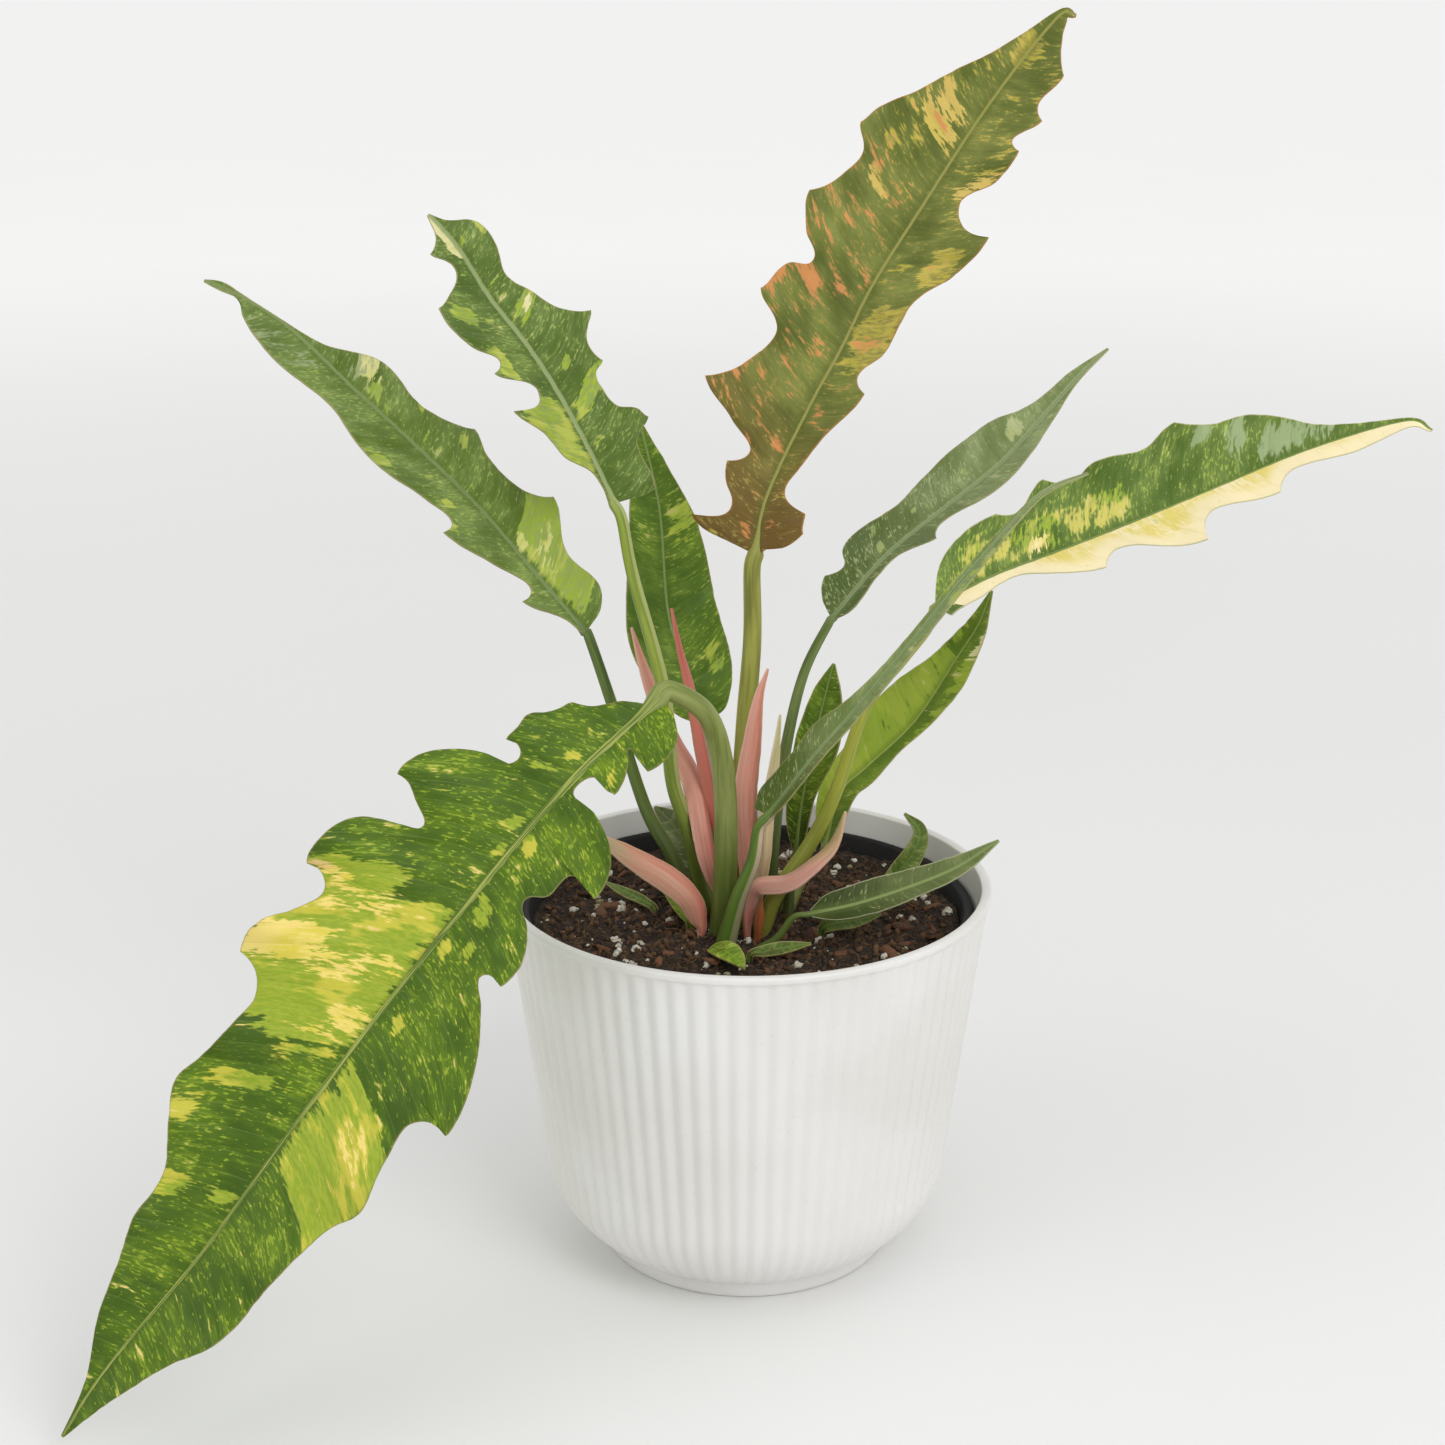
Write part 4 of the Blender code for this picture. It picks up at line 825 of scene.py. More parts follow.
def leaf_finish(name, dark, mid, fleck, lime, yellow, cream, rib, under, flecks, band,
                accent=DRY_TAN, edge=PALE_EDGE, lines=0.15, base=None):
    """A leathery leaf. Two greens, dark and mid, run in clouds. Short dashes and lens-shaped
    islands lie along the side veins, and each patch breaks up into threads along them. Lime
    patches turn yellow in places, and cream ones are partly yellow away from the margin. accent
    is one more colour of patch, such as salmon on the bronze leaf. flecks is how thickly the
    dashes and islands lie, band is the half width of the pale line along the midrib, beside which
    painted shade darkens the green, and lines is how plainly the side veins show. base is a colour
    at the leaf's base, how strong it is, and where along the leaf it starts and ends to fade."""
    finish = Finish(name)
    vein, reach, rim = finish.axes(finish.mark("vein"))
    lime_patch, cream_patch, accent_patch = finish.axes(finish.mark("patches", "Color"))
    dark_patch = finish.mark("patches", "Alpha")
    beneath = finish.mark("under", "Fac")
    broad = finish.cloud(finish.spot(0.055 * vein, 0.05 * reach, 0.0), 1.0, 2.0)
    island = finish.cloud(finish.spot(0.24 * vein, 0.08 * reach, 2.0), 1.0, 3.0, 0.55)
    thread = finish.cloud(finish.spot(0.80 * vein, 0.12 * reach, 4.0), 1.0, 3.0, 0.6)
    dash = finish.cloud(finish.spot(1.30 * vein, 0.42 * reach, 7.0), 1.0, 2.0, 0.5)

    colour = (broad + 0.5 * island + 0.35 * thread).between(0.65, 1.2).tint(dark, mid)
    if base:
        colour = (base[1] * vein.between(base[3], base[2])).tint(colour, base[0])
    thick = 0.30 * broad + 0.35 * island + 0.12 * flecks
    colour = (0.35 * (thread + thick).between(0.94, 1.10)).tint(colour, fleck)
    colour = (0.85 * (dash + thick).between(1.00, 1.05)).tint(colour, fleck)
    islands = island + 0.22 * thread + 0.05 * flecks
    colour = (0.8 * islands.between(0.80, 0.84)).tint(colour, lime)

    worn = 1.3 * (island - 0.5) + 0.9 * (thread - 0.5) + 0.6 * (dash - 0.5)
    colour = (0.75 * (dark_patch + worn).between(0.35, 0.65)).tint(colour, dark)
    mossy = (0.6 * thread + 0.5 * dash).between(0.48, 0.62).tint(fleck, lime)
    mossy = (0.7 * (broad + 0.8 * island + 0.4 * thread).between(1.10, 1.24)).tint(mossy, yellow)
    colour = (0.9 * (lime_patch + worn).between(0.38, 0.58)).tint(colour, mossy)
    creamy = (0.8 * broad + 0.5 * thread + 0.3 * dash).between(0.70, 0.95).tint(yellow, cream)
    creamy = rim.between(12.0, 3.0).tint(creamy, cream)
    colour = (0.95 * (cream_patch + 1.4 * worn).between(0.40, 0.60)).tint(colour, creamy)
    colour = (0.9 * (accent_patch + 1.4 * worn).between(0.35, 0.70)).tint(colour, accent)

    green = 1.0 - cream_patch.between(0.0, 1.0)
    # Painted shade: a darker strip just beside the pale midrib line, where the blade dips to the
    # midrib.
    midrib_groove_shade = abs(reach).between(band + 2.8, band + 0.4)
    colour = (0.45 * midrib_groove_shade * green).tint(colour, dark)
    spacing = {0: vein, 1: VEIN_SPACING / 2}
    aside = finish.node("ShaderNodeMath", {"operation": "PINGPONG"}, spacing)
    line = aside.between(0.30, 0.05) * abs(reach).between(0.0, 3.0)
    colour = (lines * line * green).tint(colour, rib)
    colour = (0.85 * abs(reach).between(band + 0.3, band - 0.2)).tint(colour, rib)
    colour = (0.6 * rim.between(0.5, 0.15)).tint(colour, edge)
    colour = (0.62 * beneath).tint(colour, under)
    relief = 0.4 * thread + 0.8 * aside.between(0.0, 0.7) + 0.3 * island
    return finish.coat(colour, 0.38 + 0.14 * island + 0.12 * beneath, relief, 0.12, gloss=0.22)


def add_leaf(name, foot, way, girth, stalk, rib, faces, left, right, tones, patches=(),
             rib_radii=(0.8, 0.3), bend=6.0, quilt=0.5,
             seed=31):
    """A leaf as two pieces: its stem, which is stalk and midrib, and its blade. way and rib are
    the points that the stalk and the midrib pass through. left and right are the knots of the
    margins, each a distance along the midrib and one out from it. A patch is a start and an end
    along the midrib and a near and a far side out from it, negative on the left half."""
    green = stalk_finish(f"{name}_stalk", **stalk)
    variegated = leaf_finish(f"{name}_leaf_skin", **tones)
    midrib = Rib(rib, faces)
    stem = stem_skin(foot, way, girth, midrib, rib_radii, bend)
    blade = blade_skin(midrib, left, right, seed, patches=patches, quilt=quilt)
    name = f"{name}_leaf"
    add_piece(f"{name}_stem", stem, green, [f"{name}_stalk"], STEM_MARKS, 60.0)
    add_piece(f"{name}_surface", blade, variegated, [f"{name}_blade"], LEAF_MARKS)


add_leaf(
    "front",
    foot=(-8, -12),
    way=[(-7, -12, 139), (-7, -13, 163), (-9, -18, 183), (-14, -28, 199)],
    girth=(4.1, 3.4),
    stalk=dict(
        light=(156, 164, 96), dark=(116, 130, 58), streak_and_foot_shade=(72, 90, 26), rib=(164, 172, 84),
        flank=(86, 110, 30),
    ),
    rib=[
        (-29, -42, 206), (-54, -62, 187), (-82, -84, 159), (-104, -101, 135), (-131, -118, 103),
        (-161, -131, 64), (-189, -138, 31), (-204, -139, 8),
    ],
    faces=((-0.1, -0.7, 0.7), (-0.2, -0.9, 0.4)),
    left=[
        (-1, 4), (2, 11), (8, 17), (14, 18.3), (20.5, 17), (18.7, 13.6), (17.3, 11), (17.2, 8.6),
        (17.7, 6.5), (21.7, 9.6), (28.6, 13.8), (33.2, 14.6), (33.4, 11.2), (31.8, 8.4),
        (31.5, 6.8), (32.4, 4.2), (34.6, 2.9), (38.5, 2.5), (42, 15), (49, 27), (54, 31), (64, 33),
        (63, 30), (61.2, 26), (62, 22), (71, 20), (75, 15), (83, 22), (94, 28), (101, 27),
        (101, 20), (109, 26), (125, 37), (137, 42), (143, 42), (143, 35), (148, 30), (159, 31),
        (175, 34), (185, 29), (208, 24), (224, 23), (247, 14), (270, 6),
    ],
    right=[
        (2.5, 1.9), (4.1, 3.9), (7.2, 7.3), (11.6, 10), (14.8, 12.1), (17.4, 15.6), (18.9, 18),
        (22.4, 19.2), (26.4, 21.5), (29.7, 24.6), (35, 24), (40, 24), (39, 21), (42, 17), (46, 19),
        (47, 25), (52, 34), (60, 41), (68, 42), (68, 38), (71, 33), (77, 26), (80, 31), (83, 38),
        (87, 44), (98, 47), (106, 46), (105, 43), (109, 37), (119, 40), (126, 45), (135, 46),
        (139, 45), (140, 39), (146, 33), (156, 33), (170, 35), (178, 37), (188, 31), (202, 24),
        (219, 22), (236, 17), (252, 10), (267, 3),
    ],
    tones=dict(
        dark=(62, 90, 16), mid=(94, 124, 22), fleck=(148, 170, 46), lime=(166, 180, 56),
        yellow=(222, 206, 78), cream=(242, 218, 126), accent=(236, 200, 140), rib=(150, 174, 84),
        edge=(150, 136, 84), under=(132, 152, 78), flecks=0.65, band=0.1,
    ),
    patches=dict(
        lime=[
            (76, 134, 20, 46), (88, 140, 0, 26), (152, 159, 10, 32, 0.75), (141, 147, 2, 18, 0.65),
            (189, 198, 14, 30, 0.7), (192, 197, 1, 9, 0.8), (160, 172, 26, 36, 0.6),
            (141, 178, -36, -1, 0.9), (78, 86, -10, -2, 0.8), (97, 103, -6, -1, 0.8),
            (89, 94, -14, -8, 0.75), (121, 126, -9, -5, 0.8), (53, 58, 2, 8, 0.9),
            (56, 62, -7, -1, 0.9), (63, 68, 1, 5, 0.8), (26, 30, 3, 8, 0.8), (32, 37, 5, 14, 0.7),
            (18, 34, -16, -6, 0.45),
        ],
        cream=[
            (79, 85, 30, 44, 0.5), (86, 96, 10, 38, 0.5), (107, 119, 2, 30, 0.5),
            (126, 138, 0, 14, 0.6), (100, 114, 26, 48), (146, 156, -28, -12, 0.42),
        ],
        accent=[(78, 81, 40, 46, 0.7)],
        dark=[(80, 92, 8, 24, 0.7), (131, 150, 14, 40), (158, 170, -34, -20, 0.8)],
    ),
    rib_radii=(1.9, 0.55),
    quilt=0.6,
)

# Left leaf
# A narrower leaf that leans out to the left on a dark green stalk, with its face to the light. Its
# right half is splashed with lime near the base, and its tip is rolled to a brown point.

add_leaf(
    "left",
    foot=(-16, 0),
    way=[(-25, 2, 138), (-34, 6, 154), (-45, 13, 188)],
    girth=(2.6, 1.8),
    stalk=dict(light=(96, 116, 48), dark=(58, 78, 26), streak_and_foot_shade=(66, 70, 30), rib=(120, 140, 84)),
    rib=[
        (-54, 18, 212), (-69, 22, 229), (-89, 27, 252), (-111, 32, 273), (-131, 36, 291),
        (-151, 39, 310), (-166, 40, 320), (-178, 38, 326),
    ],
    faces=((0.6, -0.5, 0.6), (0.5, -0.5, 0.7)),
    left=[
        (6, 3), (21, 16), (22, 8), (37, 16), (55, 26), (56, 18), (67, 19), (92, 24), (108, 17),
        (137, 19), (141, 18), (148, 15), (155, 8.5), (158, 2), (166, 1.5),
    ],
    right=[
        (3, 12), (8, 17), (24, 16), (42, 26), (49, 19), (66, 18), (75, 22), (90, 14), (113, 16),
        (130, 4), (137, 2), (147, 0.8), (158, 1.2), (167, 2.2),
    ],
    tones=dict(
        dark=(88, 110, 36), mid=(122, 144, 74), fleck=(156, 174, 90), lime=(160, 182, 60),
        yellow=(200, 204, 96), cream=(222, 218, 150), accent=(154, 166, 122), rib=(134, 151, 94),
        under=(144, 160, 104), flecks=0.7, band=0.7,
    ),
    patches=dict(
        lime=[
            (2, 38, 2, 28), (100, 106, 2, 9), (83, 87, 12, 16), (64, 68, 13, 17), (133, 137, 3, 7),
            (42, 50, -26, -18), (16, 20, -14, -8), (72, 78, -25, -18), (53, 57, -14, -10),
        ],
        cream=[(20, 30, 4, 16, 0.5), (32, 37, 2, 7), (103, 112, 6, 18)],
        accent=[(104, 172, 2, 16, 0.45), (120, 172, -18, -2, 0.4)],
        dark=[(40, 45, 10, 20)],
    ),
    bend=2.0,
    seed=41,
)

# Upper left leaf
# An upright leaf on an olive stalk. A broad grey-green strip runs along its midrib, its left half
# is lime near the base, and its narrow tip has lost its green and dried cream.

add_leaf(
    "upper_left",
    foot=(-13, 9),
    way=[(-20, 12, 145), (-25, 15, 161), (-28, 19, 192), (-38, 24, 230)],
    girth=(3.0, 2.0),
    stalk=dict(
        light=(150, 166, 66), dark=(110, 132, 44), streak_and_foot_shade=(74, 92, 28), rib=(150, 166, 112),
        strip=(75.0, (176, 184, 116)),
    ),
    rib=[
        (-44, 26, 254), (-53, 30, 272), (-63, 34, 290), (-73, 37, 305), (-85, 40, 320),
        (-95, 41, 336), (-104, 40, 347),
    ],
    faces=((0.7, -0.6, 0.5), (0.7, -0.6, 0.4)),
    left=[
        (11, 3), (22, 15), (30, 18), (41, 27), (43, 9), (57, 24), (59, 18), (68, 25), (85, 27),
        (87, 18), (93, 8), (103, 14), (106, 5),
    ],
    right=[
        (-1, 18.4), (3, 19), (17, 20.5), (19, 24), (21.6, 28.3), (25.3, 25.5), (29.5, 18),
        (34, 17), (41, 18), (43.6, 22.9), (46.7, 21.2), (50.6, 21.3), (54.7, 25.2), (58, 30),
        (64, 19), (74, 15), (83, 11), (93, 14), (99, 13), (108, 3),
    ],
    tones=dict(
        dark=(76, 100, 30), mid=(108, 130, 62), fleck=(146, 166, 84), lime=(162, 182, 52),
        yellow=(198, 202, 90), cream=(232, 222, 170), rib=(150, 165, 110),
        under=(144, 160, 104), flecks=0.75, band=1.0,
    ),
    patches=dict(
        lime=[
            (62, 68, 3, 17), (42, 45, 7, 12), (27, 34, 3, 22), (8, 38, -22, -2),
            (65, 73, -22, -12), (42, 55, -20, -14), (90, 97, 11, 16),
        ],
        cream=[(94, 118, -4, 0, 1.4), (63, 66, 6, 13)],
    ),
    rib_radii=(0.8, 0.35),
    seed=51,
)

# Hanging leaf
# A leaf at the back whose blade stands nearly upright behind the others. It is darker green and
# speckled with lime.

add_leaf(
    "hanging",
    foot=(-8, 16),
    way=[(-10, 34, 137), (-14, 56, 152)],
    girth=(2.5, 1.8),
    stalk=dict(light=(110, 130, 60), dark=(74, 94, 32), streak_and_foot_shade=(70, 72, 32), rib=(132, 150, 90)),
    rib=[(-17, 70, 164), (-22, 75, 183), (-28, 82, 203), (-31, 92, 238), (-38, 98, 269)],
    faces=((0.3, -0.9, 0.3), (0.3, -0.9, 0.2)),
    left=[(3, 6), (16, 15), (31, 18), (47, 16), (64, 14), (84, 11)],
    right=[(1, 9), (12, 16), (28, 18), (51, 17), (70, 14), (87, 8)],
    tones=dict(
        dark=(72, 102, 22), mid=(108, 138, 42), fleck=(150, 172, 66), lime=(168, 188, 60),
        yellow=(196, 200, 84), cream=(206, 206, 130), rib=(124, 148, 66),
        under=(130, 150, 84), flecks=0.6, band=0.4, lines=0.06,
    ),
    patches=dict(
        lime=[(60, 76, 2, 14, 0.6), (8, 20, 8, 16, 0.6)],
        dark=[(20, 60, -18, -2, 0.6)],
    ),
    quilt=0.35,
    seed=61,
)

# Tall leaf
# The newest large leaf, which stands highest. It opened bronze and is turning green from its tip,
# and it is streaked with salmon and orange. Its stalk is olive with red-brown streaks.

add_leaf(
    "tall",
    foot=(-1, 15),
    way=[(-2, 14, 140), (0, 18, 181), (2, 20, 209)],
    girth=(4.2, 2.9),
    stalk=dict(
        light=(160, 164, 74), dark=(114, 118, 44), streak_and_foot_shade=(128, 84, 46), rib=(150, 148, 78),
    ),
    rib=[
        (3, 22, 238), (7, 25, 257), (21, 30, 286), (31, 33, 304), (41, 36, 324), (55, 40, 346),
        (78, 44, 381), (99, 45, 408), (105, 44, 409),
    ],
    faces=((-0.5, -0.8, 0.4), (-0.5, -0.8, 0.4)),
    left=[
        (2, 9), (9, 25), (14, 11), (20, 16), (25, 18), (29, 12), (37, 23), (45, 38), (57, 27),
        (67, 23), (80, 35), (91, 31), (95, 23), (101, 30), (112, 37), (123, 30), (131, 28),
        (138, 34), (146, 32), (159, 22), (177, 11), (193, 4),
    ],
    right=[
        (2, 4), (4, 12), (10, 19), (19, 18), (24, 6), (32, 8), (44, 11), (64, 18), (67, 12),
        (78, 17), (97, 19), (112, 27), (127, 31), (127, 18), (132, 13), (146, 21), (156, 22),
        (157, 18), (170, 22), (173, 17), (185, 18), (195, 7),
    ],
    tones=dict(
        dark=(88, 98, 34), mid=(130, 138, 66), fleck=(156, 144, 72), lime=(182, 170, 66),
        yellow=(204, 184, 86), cream=(214, 186, 100), accent=(212, 142, 84), rib=(150, 150, 70),
        edge=(196, 128, 72), under=(136, 132, 72), flecks=0.45, band=0.5, lines=0.1,
        base=((112, 80, 38), 0.85, 4.0, 60.0),
    ),
    patches=dict(
        lime=[
            (61, 86, 2, 22, 0.7), (84, 88, 4, 12, 0.7), (99, 105, 2, 10, 0.7),
            (92, 108, 15, 27, 0.7), (124, 130, -25, -19, 0.7), (178, 190, -7, 7, 0.7),
            (112, 200, 2, 30, 0.32), (120, 200, -36, -3, 0.32),
        ],
        cream=[(127, 135, 9, 23, 0.7), (141, 156, -18, -2, 0.8), (112, 118, -25, -12, 0.7)],
        accent=[
            (62, 84, -37, -29, 0.7), (75, 82, -28, -16, 0.75), (56, 61, -22, -16, 0.75),
            (33, 48, -38, -26, 0.7), (24, 28, -17, -12, 0.6), (31, 37, -6, -1, 0.6),
            (6, 11, 1, 7, 0.6), (2, 7, -7, -2, 0.6), (84, 88, -13, -7, 0.6), (92, 97, -5, -1, 0.6),
            (70, 76, 5, 20, 0.5), (46, 50, 3, 7, 0.6), (144, 149, -16, -6, 0.6),
            (16, 128, -38, -4, 0.26), (20, 60, 3, 16, 0.25),
        ],
    ),
    seed=71,
)

# Back right leaf
# A grey-green leaf on a thin stalk behind the others, with a broad pale strip along its midrib
# and few markings.

add_leaf(
    "back_right",
    foot=(8, 13),
    way=[(10, 17, 144), (14, 26, 170), (20, 34, 193)],
    girth=(2.6, 1.6),
    stalk=dict(light=(124, 142, 76), dark=(86, 106, 44), streak_and_foot_shade=(76, 84, 40), rib=(136, 150, 104)),
    rib=[
        (30, 40, 211), (49, 52, 230), (71, 64, 245), (90, 74, 258), (105, 84, 272), (118, 91, 285),
        (129, 95, 295),
    ],
    faces=((-0.5, -0.4, 0.8), (-0.5, -0.5, 0.7)),
    left=[
        (5, 10), (12, 15), (18, 11), (23, 16), (48, 15), (58, 17), (84, 19), (98, 16), (105, 10),
        (128, 4),
    ],
    right=[(3, 5), (21, 5), (30, 5), (43, 14), (48, 8), (69, 12), (104, 7), (122, 2)],
    tones=dict(
        dark=(118, 134, 78), mid=(154, 168, 116), fleck=(170, 184, 126), lime=(156, 174, 90),
        yellow=(180, 190, 120), cream=(190, 198, 146), accent=(180, 166, 120), rib=(156, 170, 122),
        under=(144, 160, 110), flecks=0.6, band=1.0, lines=0.04,
        base=((74, 94, 34), 0.85, 5.0, 96.0),
    ),
    patches=dict(
        lime=[(43, 47, -10, -6, 0.8), (26, 30, -8, -3, 0.8), (25, 31, -16, -10, 0.6)],
        cream=[(91, 98, -10, -3), (60, 66, 3, 9, 0.5)],
    ),
    bend=2.0,
    quilt=0.35,
    seed=81,
)

# Right leaf
# A long leaf that reaches out level to the right. Half of it has no green at all and is cream from
# the midrib to the margin, and the other half is green with lime near the base.

add_leaf(
    "right",
    foot=(5, -11),
    way=[
        (10, -12, 130), (21, -10, 147), (29, -9, 164), (39, -5, 193), (51, -4, 209), (59, -2, 219),
    ],
    girth=(3.0, 1.5),
    stalk=dict(
        light=(172, 176, 66), dark=(136, 144, 50), streak_and_foot_shade=(116, 116, 48), rib=(120, 140, 70),
    ),
    rib=[
        (62, 0, 226), (80, 6, 234), (101, 10, 241), (126, 14, 250), (155, 16, 262), (183, 16, 274),
        (212, 12, 284), (220, 8, 282),
    ],
    faces=((-0.2, -0.5, 0.9), (-0.4, -0.5, 0.8)),
    left=[
        (1, 3), (11, 15), (32, 23), (35, 21), (52, 30), (62, 25), (67, 28), (87, 26), (98, 31),
        (109, 24), (118, 23), (138, 8), (154, 3),
    ],
    right=[
        (1, 8), (14, 7), (29, 5), (38, 10), (54, 18), (57, 13), (88, 25), (93, 12), (117, 16),
        (121, 9), (147, 9), (159, 5),
    ],
    tones=dict(
        dark=(78, 104, 34), mid=(114, 138, 66), fleck=(158, 174, 78), lime=(160, 182, 56),
        yellow=(232, 214, 116), cream=(252, 236, 190), accent=(156, 174, 126), rib=(112, 134, 56),
        edge=(214, 204, 160), under=(150, 166, 104), flecks=0.75, band=0.2,
    ),
    patches=dict(
        lime=[(6, 68, -18, -1, 0.55)],
        cream=[(3, 190, -6, 60, 1.6), (34, 40, -10, -2, 0.7)],
        accent=[(87, 95, -26, -19, 0.9), (102, 108, -24, -8, 0.8), (113, 140, -16, -2, 0.7)],
    ),
    rib_radii=(0.9, 0.35),
    bend=1.5,
    quilt=0.35,
    seed=91,
)

# Narrow leaf
# A strap-like young leaf that leans in front of the right leaf's stalk. It is grey-green with pale
# lengthwise streaks, and its stalk is a boat-shaped hood with a whitish lining.

add_leaf(
    "narrow",
    foot=(-7, -22),
    way=[(-3, -22, 132), (2, -23, 146)],
    girth=(3.5, 2.0),
    stalk=dict(
        light=(122, 148, 58), dark=(84, 116, 34), streak_and_foot_shade=(66, 98, 22), rib=(142, 160, 104),
        flank=(104, 124, 76), strip=(-20.0, (220, 190, 170)),
    ),
    rib=[
        (7, -24, 162), (22, -30, 185), (35, -34, 202), (51, -39, 225), (66, -43, 246),
        (82, -47, 267), (90, -49, 275), (101, -50, 280),
    ],
    faces=((-0.8, -0.3, 0.5), (-0.8, -0.3, 0.6)),
    left=[
        (-4, 8), (-1, 10.5), (10, 10.5), (20, 9.5), (32, 10), (44, 7), (62, 4), (84, 3), (104, 3),
        (128, 2),
    ],
    right=[(4, 4), (17, 6), (40, 6), (56, 6), (76, 7), (95, 6), (114, 5), (129, 3)],
    tones=dict(
        dark=(108, 128, 66), mid=(148, 164, 106), fleck=(172, 184, 124), lime=(146, 168, 54),
        yellow=(176, 190, 84), cream=(206, 212, 150), rib=(158, 172, 124),
        under=(140, 156, 104), flecks=0.35, band=0.8, lines=0.0,
        base=((76, 96, 22), 0.9, 8.0, 62.0),
    ),
    patches=dict(
        lime=[(92, 142, 1, 8, 0.6), (92, 142, -8, -1, 0.6)],
    ),
    rib_radii=(1.0, 0.35),
    quilt=0.25,
    seed=101,
)

# Lower right leaf
# A bright yellow-green leaf low on the right, on a short thin stalk. It is half hidden by the long
# stalks in front of it.

add_leaf(
    "lower_right",
    foot=(14, 6),
    way=[(20, 18, 124)],
    girth=(2.4, 1.6),
    stalk=dict(light=(140, 156, 66), dark=(96, 114, 42), streak_and_foot_shade=(92, 92, 42), rib=(150, 168, 84)),
    rib=[
        (28, 30, 131), (34, 36, 149), (43, 40, 157), (60, 46, 172), (75, 52, 194), (82, 54, 205),
        (86, 54, 217),
    ],
    faces=((-0.6, -0.7, 0.4), (-0.6, -0.6, 0.5)),
    left=[(8, 6), (20, 9), (30, 11), (51, 17), (65, 15), (78, 9), (98, 4)],
    right=[(8, 5), (29, 7), (48, 5), (62, 8), (74, 10), (93, 6), (101, 3)],
    tones=dict(
        dark=(88, 114, 26), mid=(124, 150, 42), fleck=(150, 172, 60), lime=(150, 174, 50),
        yellow=(170, 186, 66), cream=(226, 220, 160), rib=(126, 150, 46),
        under=(150, 168, 84), flecks=0.6, band=0.2, lines=0.04,
    ),
    patches=dict(
        lime=[(6, 82, -20, 6, 0.78), (60, 104, -12, -2, 0.5), (40, 100, 4, 11, 0.6)],
        cream=[(82, 95, 4, 11, 0.9)],
        dark=[(20, 75, -4, 5, 0.6), (83, 97, -4, 3, 0.6)],
    ),
    rib_radii=(0.5, 0.3),
    quilt=0.35,
    seed=111,
)

# Short leaf and rim leaf
# Two small plain leaves: one stands close behind the pale sheath, and one lies out over the right
# of the soil towards the rim.

add_leaf(
    "short",
    foot=(14, -3),
    way=[(15, 0, 130)],
    girth=(2.0, 1.4),
    stalk=dict(light=(98, 118, 48), dark=(60, 80, 24), streak_and_foot_shade=(64, 66, 28), rib=(116, 136, 66)),
    rib=[(17, 2, 140), (19, 4, 157), (23, 6, 178), (26, 8, 191), (29, 8, 204)],
    faces=((-0.6, -0.8, 0.2), (-0.6, -0.8, 0.1)),
    left=[(6, 4), (18, 6), (47, 6), (57, 4)],
    right=[(4, 3), (19, 5), (42, 11), (56, 7)],
    tones=dict(
        dark=(66, 92, 10), mid=(102, 132, 24), fleck=(136, 160, 58), lime=(140, 164, 56),
        yellow=(170, 182, 80), cream=(180, 190, 110), accent=(170, 150, 100), rib=(100, 128, 40),
        under=(110, 134, 56), flecks=0.7, band=0.2, lines=0.03,
        base=((44, 62, 6), 0.85, 0.0, 30.0),
    ),
    quilt=0.25,
    seed=121,
)
add_leaf(
    "rim",
    foot=(4, -27),
    way=[(10, -28, 121)],
    girth=(1.4, 1.0),
    stalk=dict(light=(116, 138, 56), dark=(84, 106, 34), streak_and_foot_shade=(78, 92, 34), rib=(130, 148, 84)),
    rib=[(21, -27, 129), (36, -26, 132), (54, -23, 137), (69, -19, 142), (83, -15, 150)],
    faces=((-0.1, -0.6, 0.8), (-0.4, -0.6, 0.7)),
    left=[(5, 5), (18, 7), (36, 6), (52, 4)],
    right=[(5, 4), (18, 6), (36, 5), (52, 4)],
    tones=dict(
        dark=(96, 110, 56), mid=(132, 144, 92), fleck=(140, 154, 92), lime=(146, 160, 84),
        yellow=(176, 184, 110), cream=(192, 196, 150), accent=(170, 150, 100), rib=(136, 152, 100),
        edge=(188, 188, 150), under=(120, 136, 84), flecks=0.2, band=0.5, lines=0.0,
        base=((52, 66, 16), 0.95, 4.0, 62.0),
    ),
    quilt=0.2,
    seed=131,
)

# Sheaths
# Fleshy pointed sleeves, pink to cream, that wrapped each young leaf until it grew out of them.
# Four stand on the crown and three come straight out of the soil, and the smallest of these has
# dried brown.

SOIL_STUB = HOLE_DEPTH + 1.5  # length of the narrow foot that stands in a hole in the soil
NO_MIDRIB = dict(ripple=0.0, thickness=(1.3, 0.6), slit=0.0)  # a fleshy blade, whole in the middle


def pointed_margin(length, half_width, stub):
    """A pointed margin, widest below its middle. Past its narrow stub it stands out by
    half width * sin(pi * (0.15 + 0.85 * share)) ** 0.8."""
    knots = [(stub, RIB_HALF_WIDTH)] if stub else []
    for share in np.arange(1, 8) / 8:
        swell = math.sin(math.pi * (0.15 + 0.85 * share)) ** 0.8
        knots.append((stub + share * (length - stub), half_width * swell))
    return knots


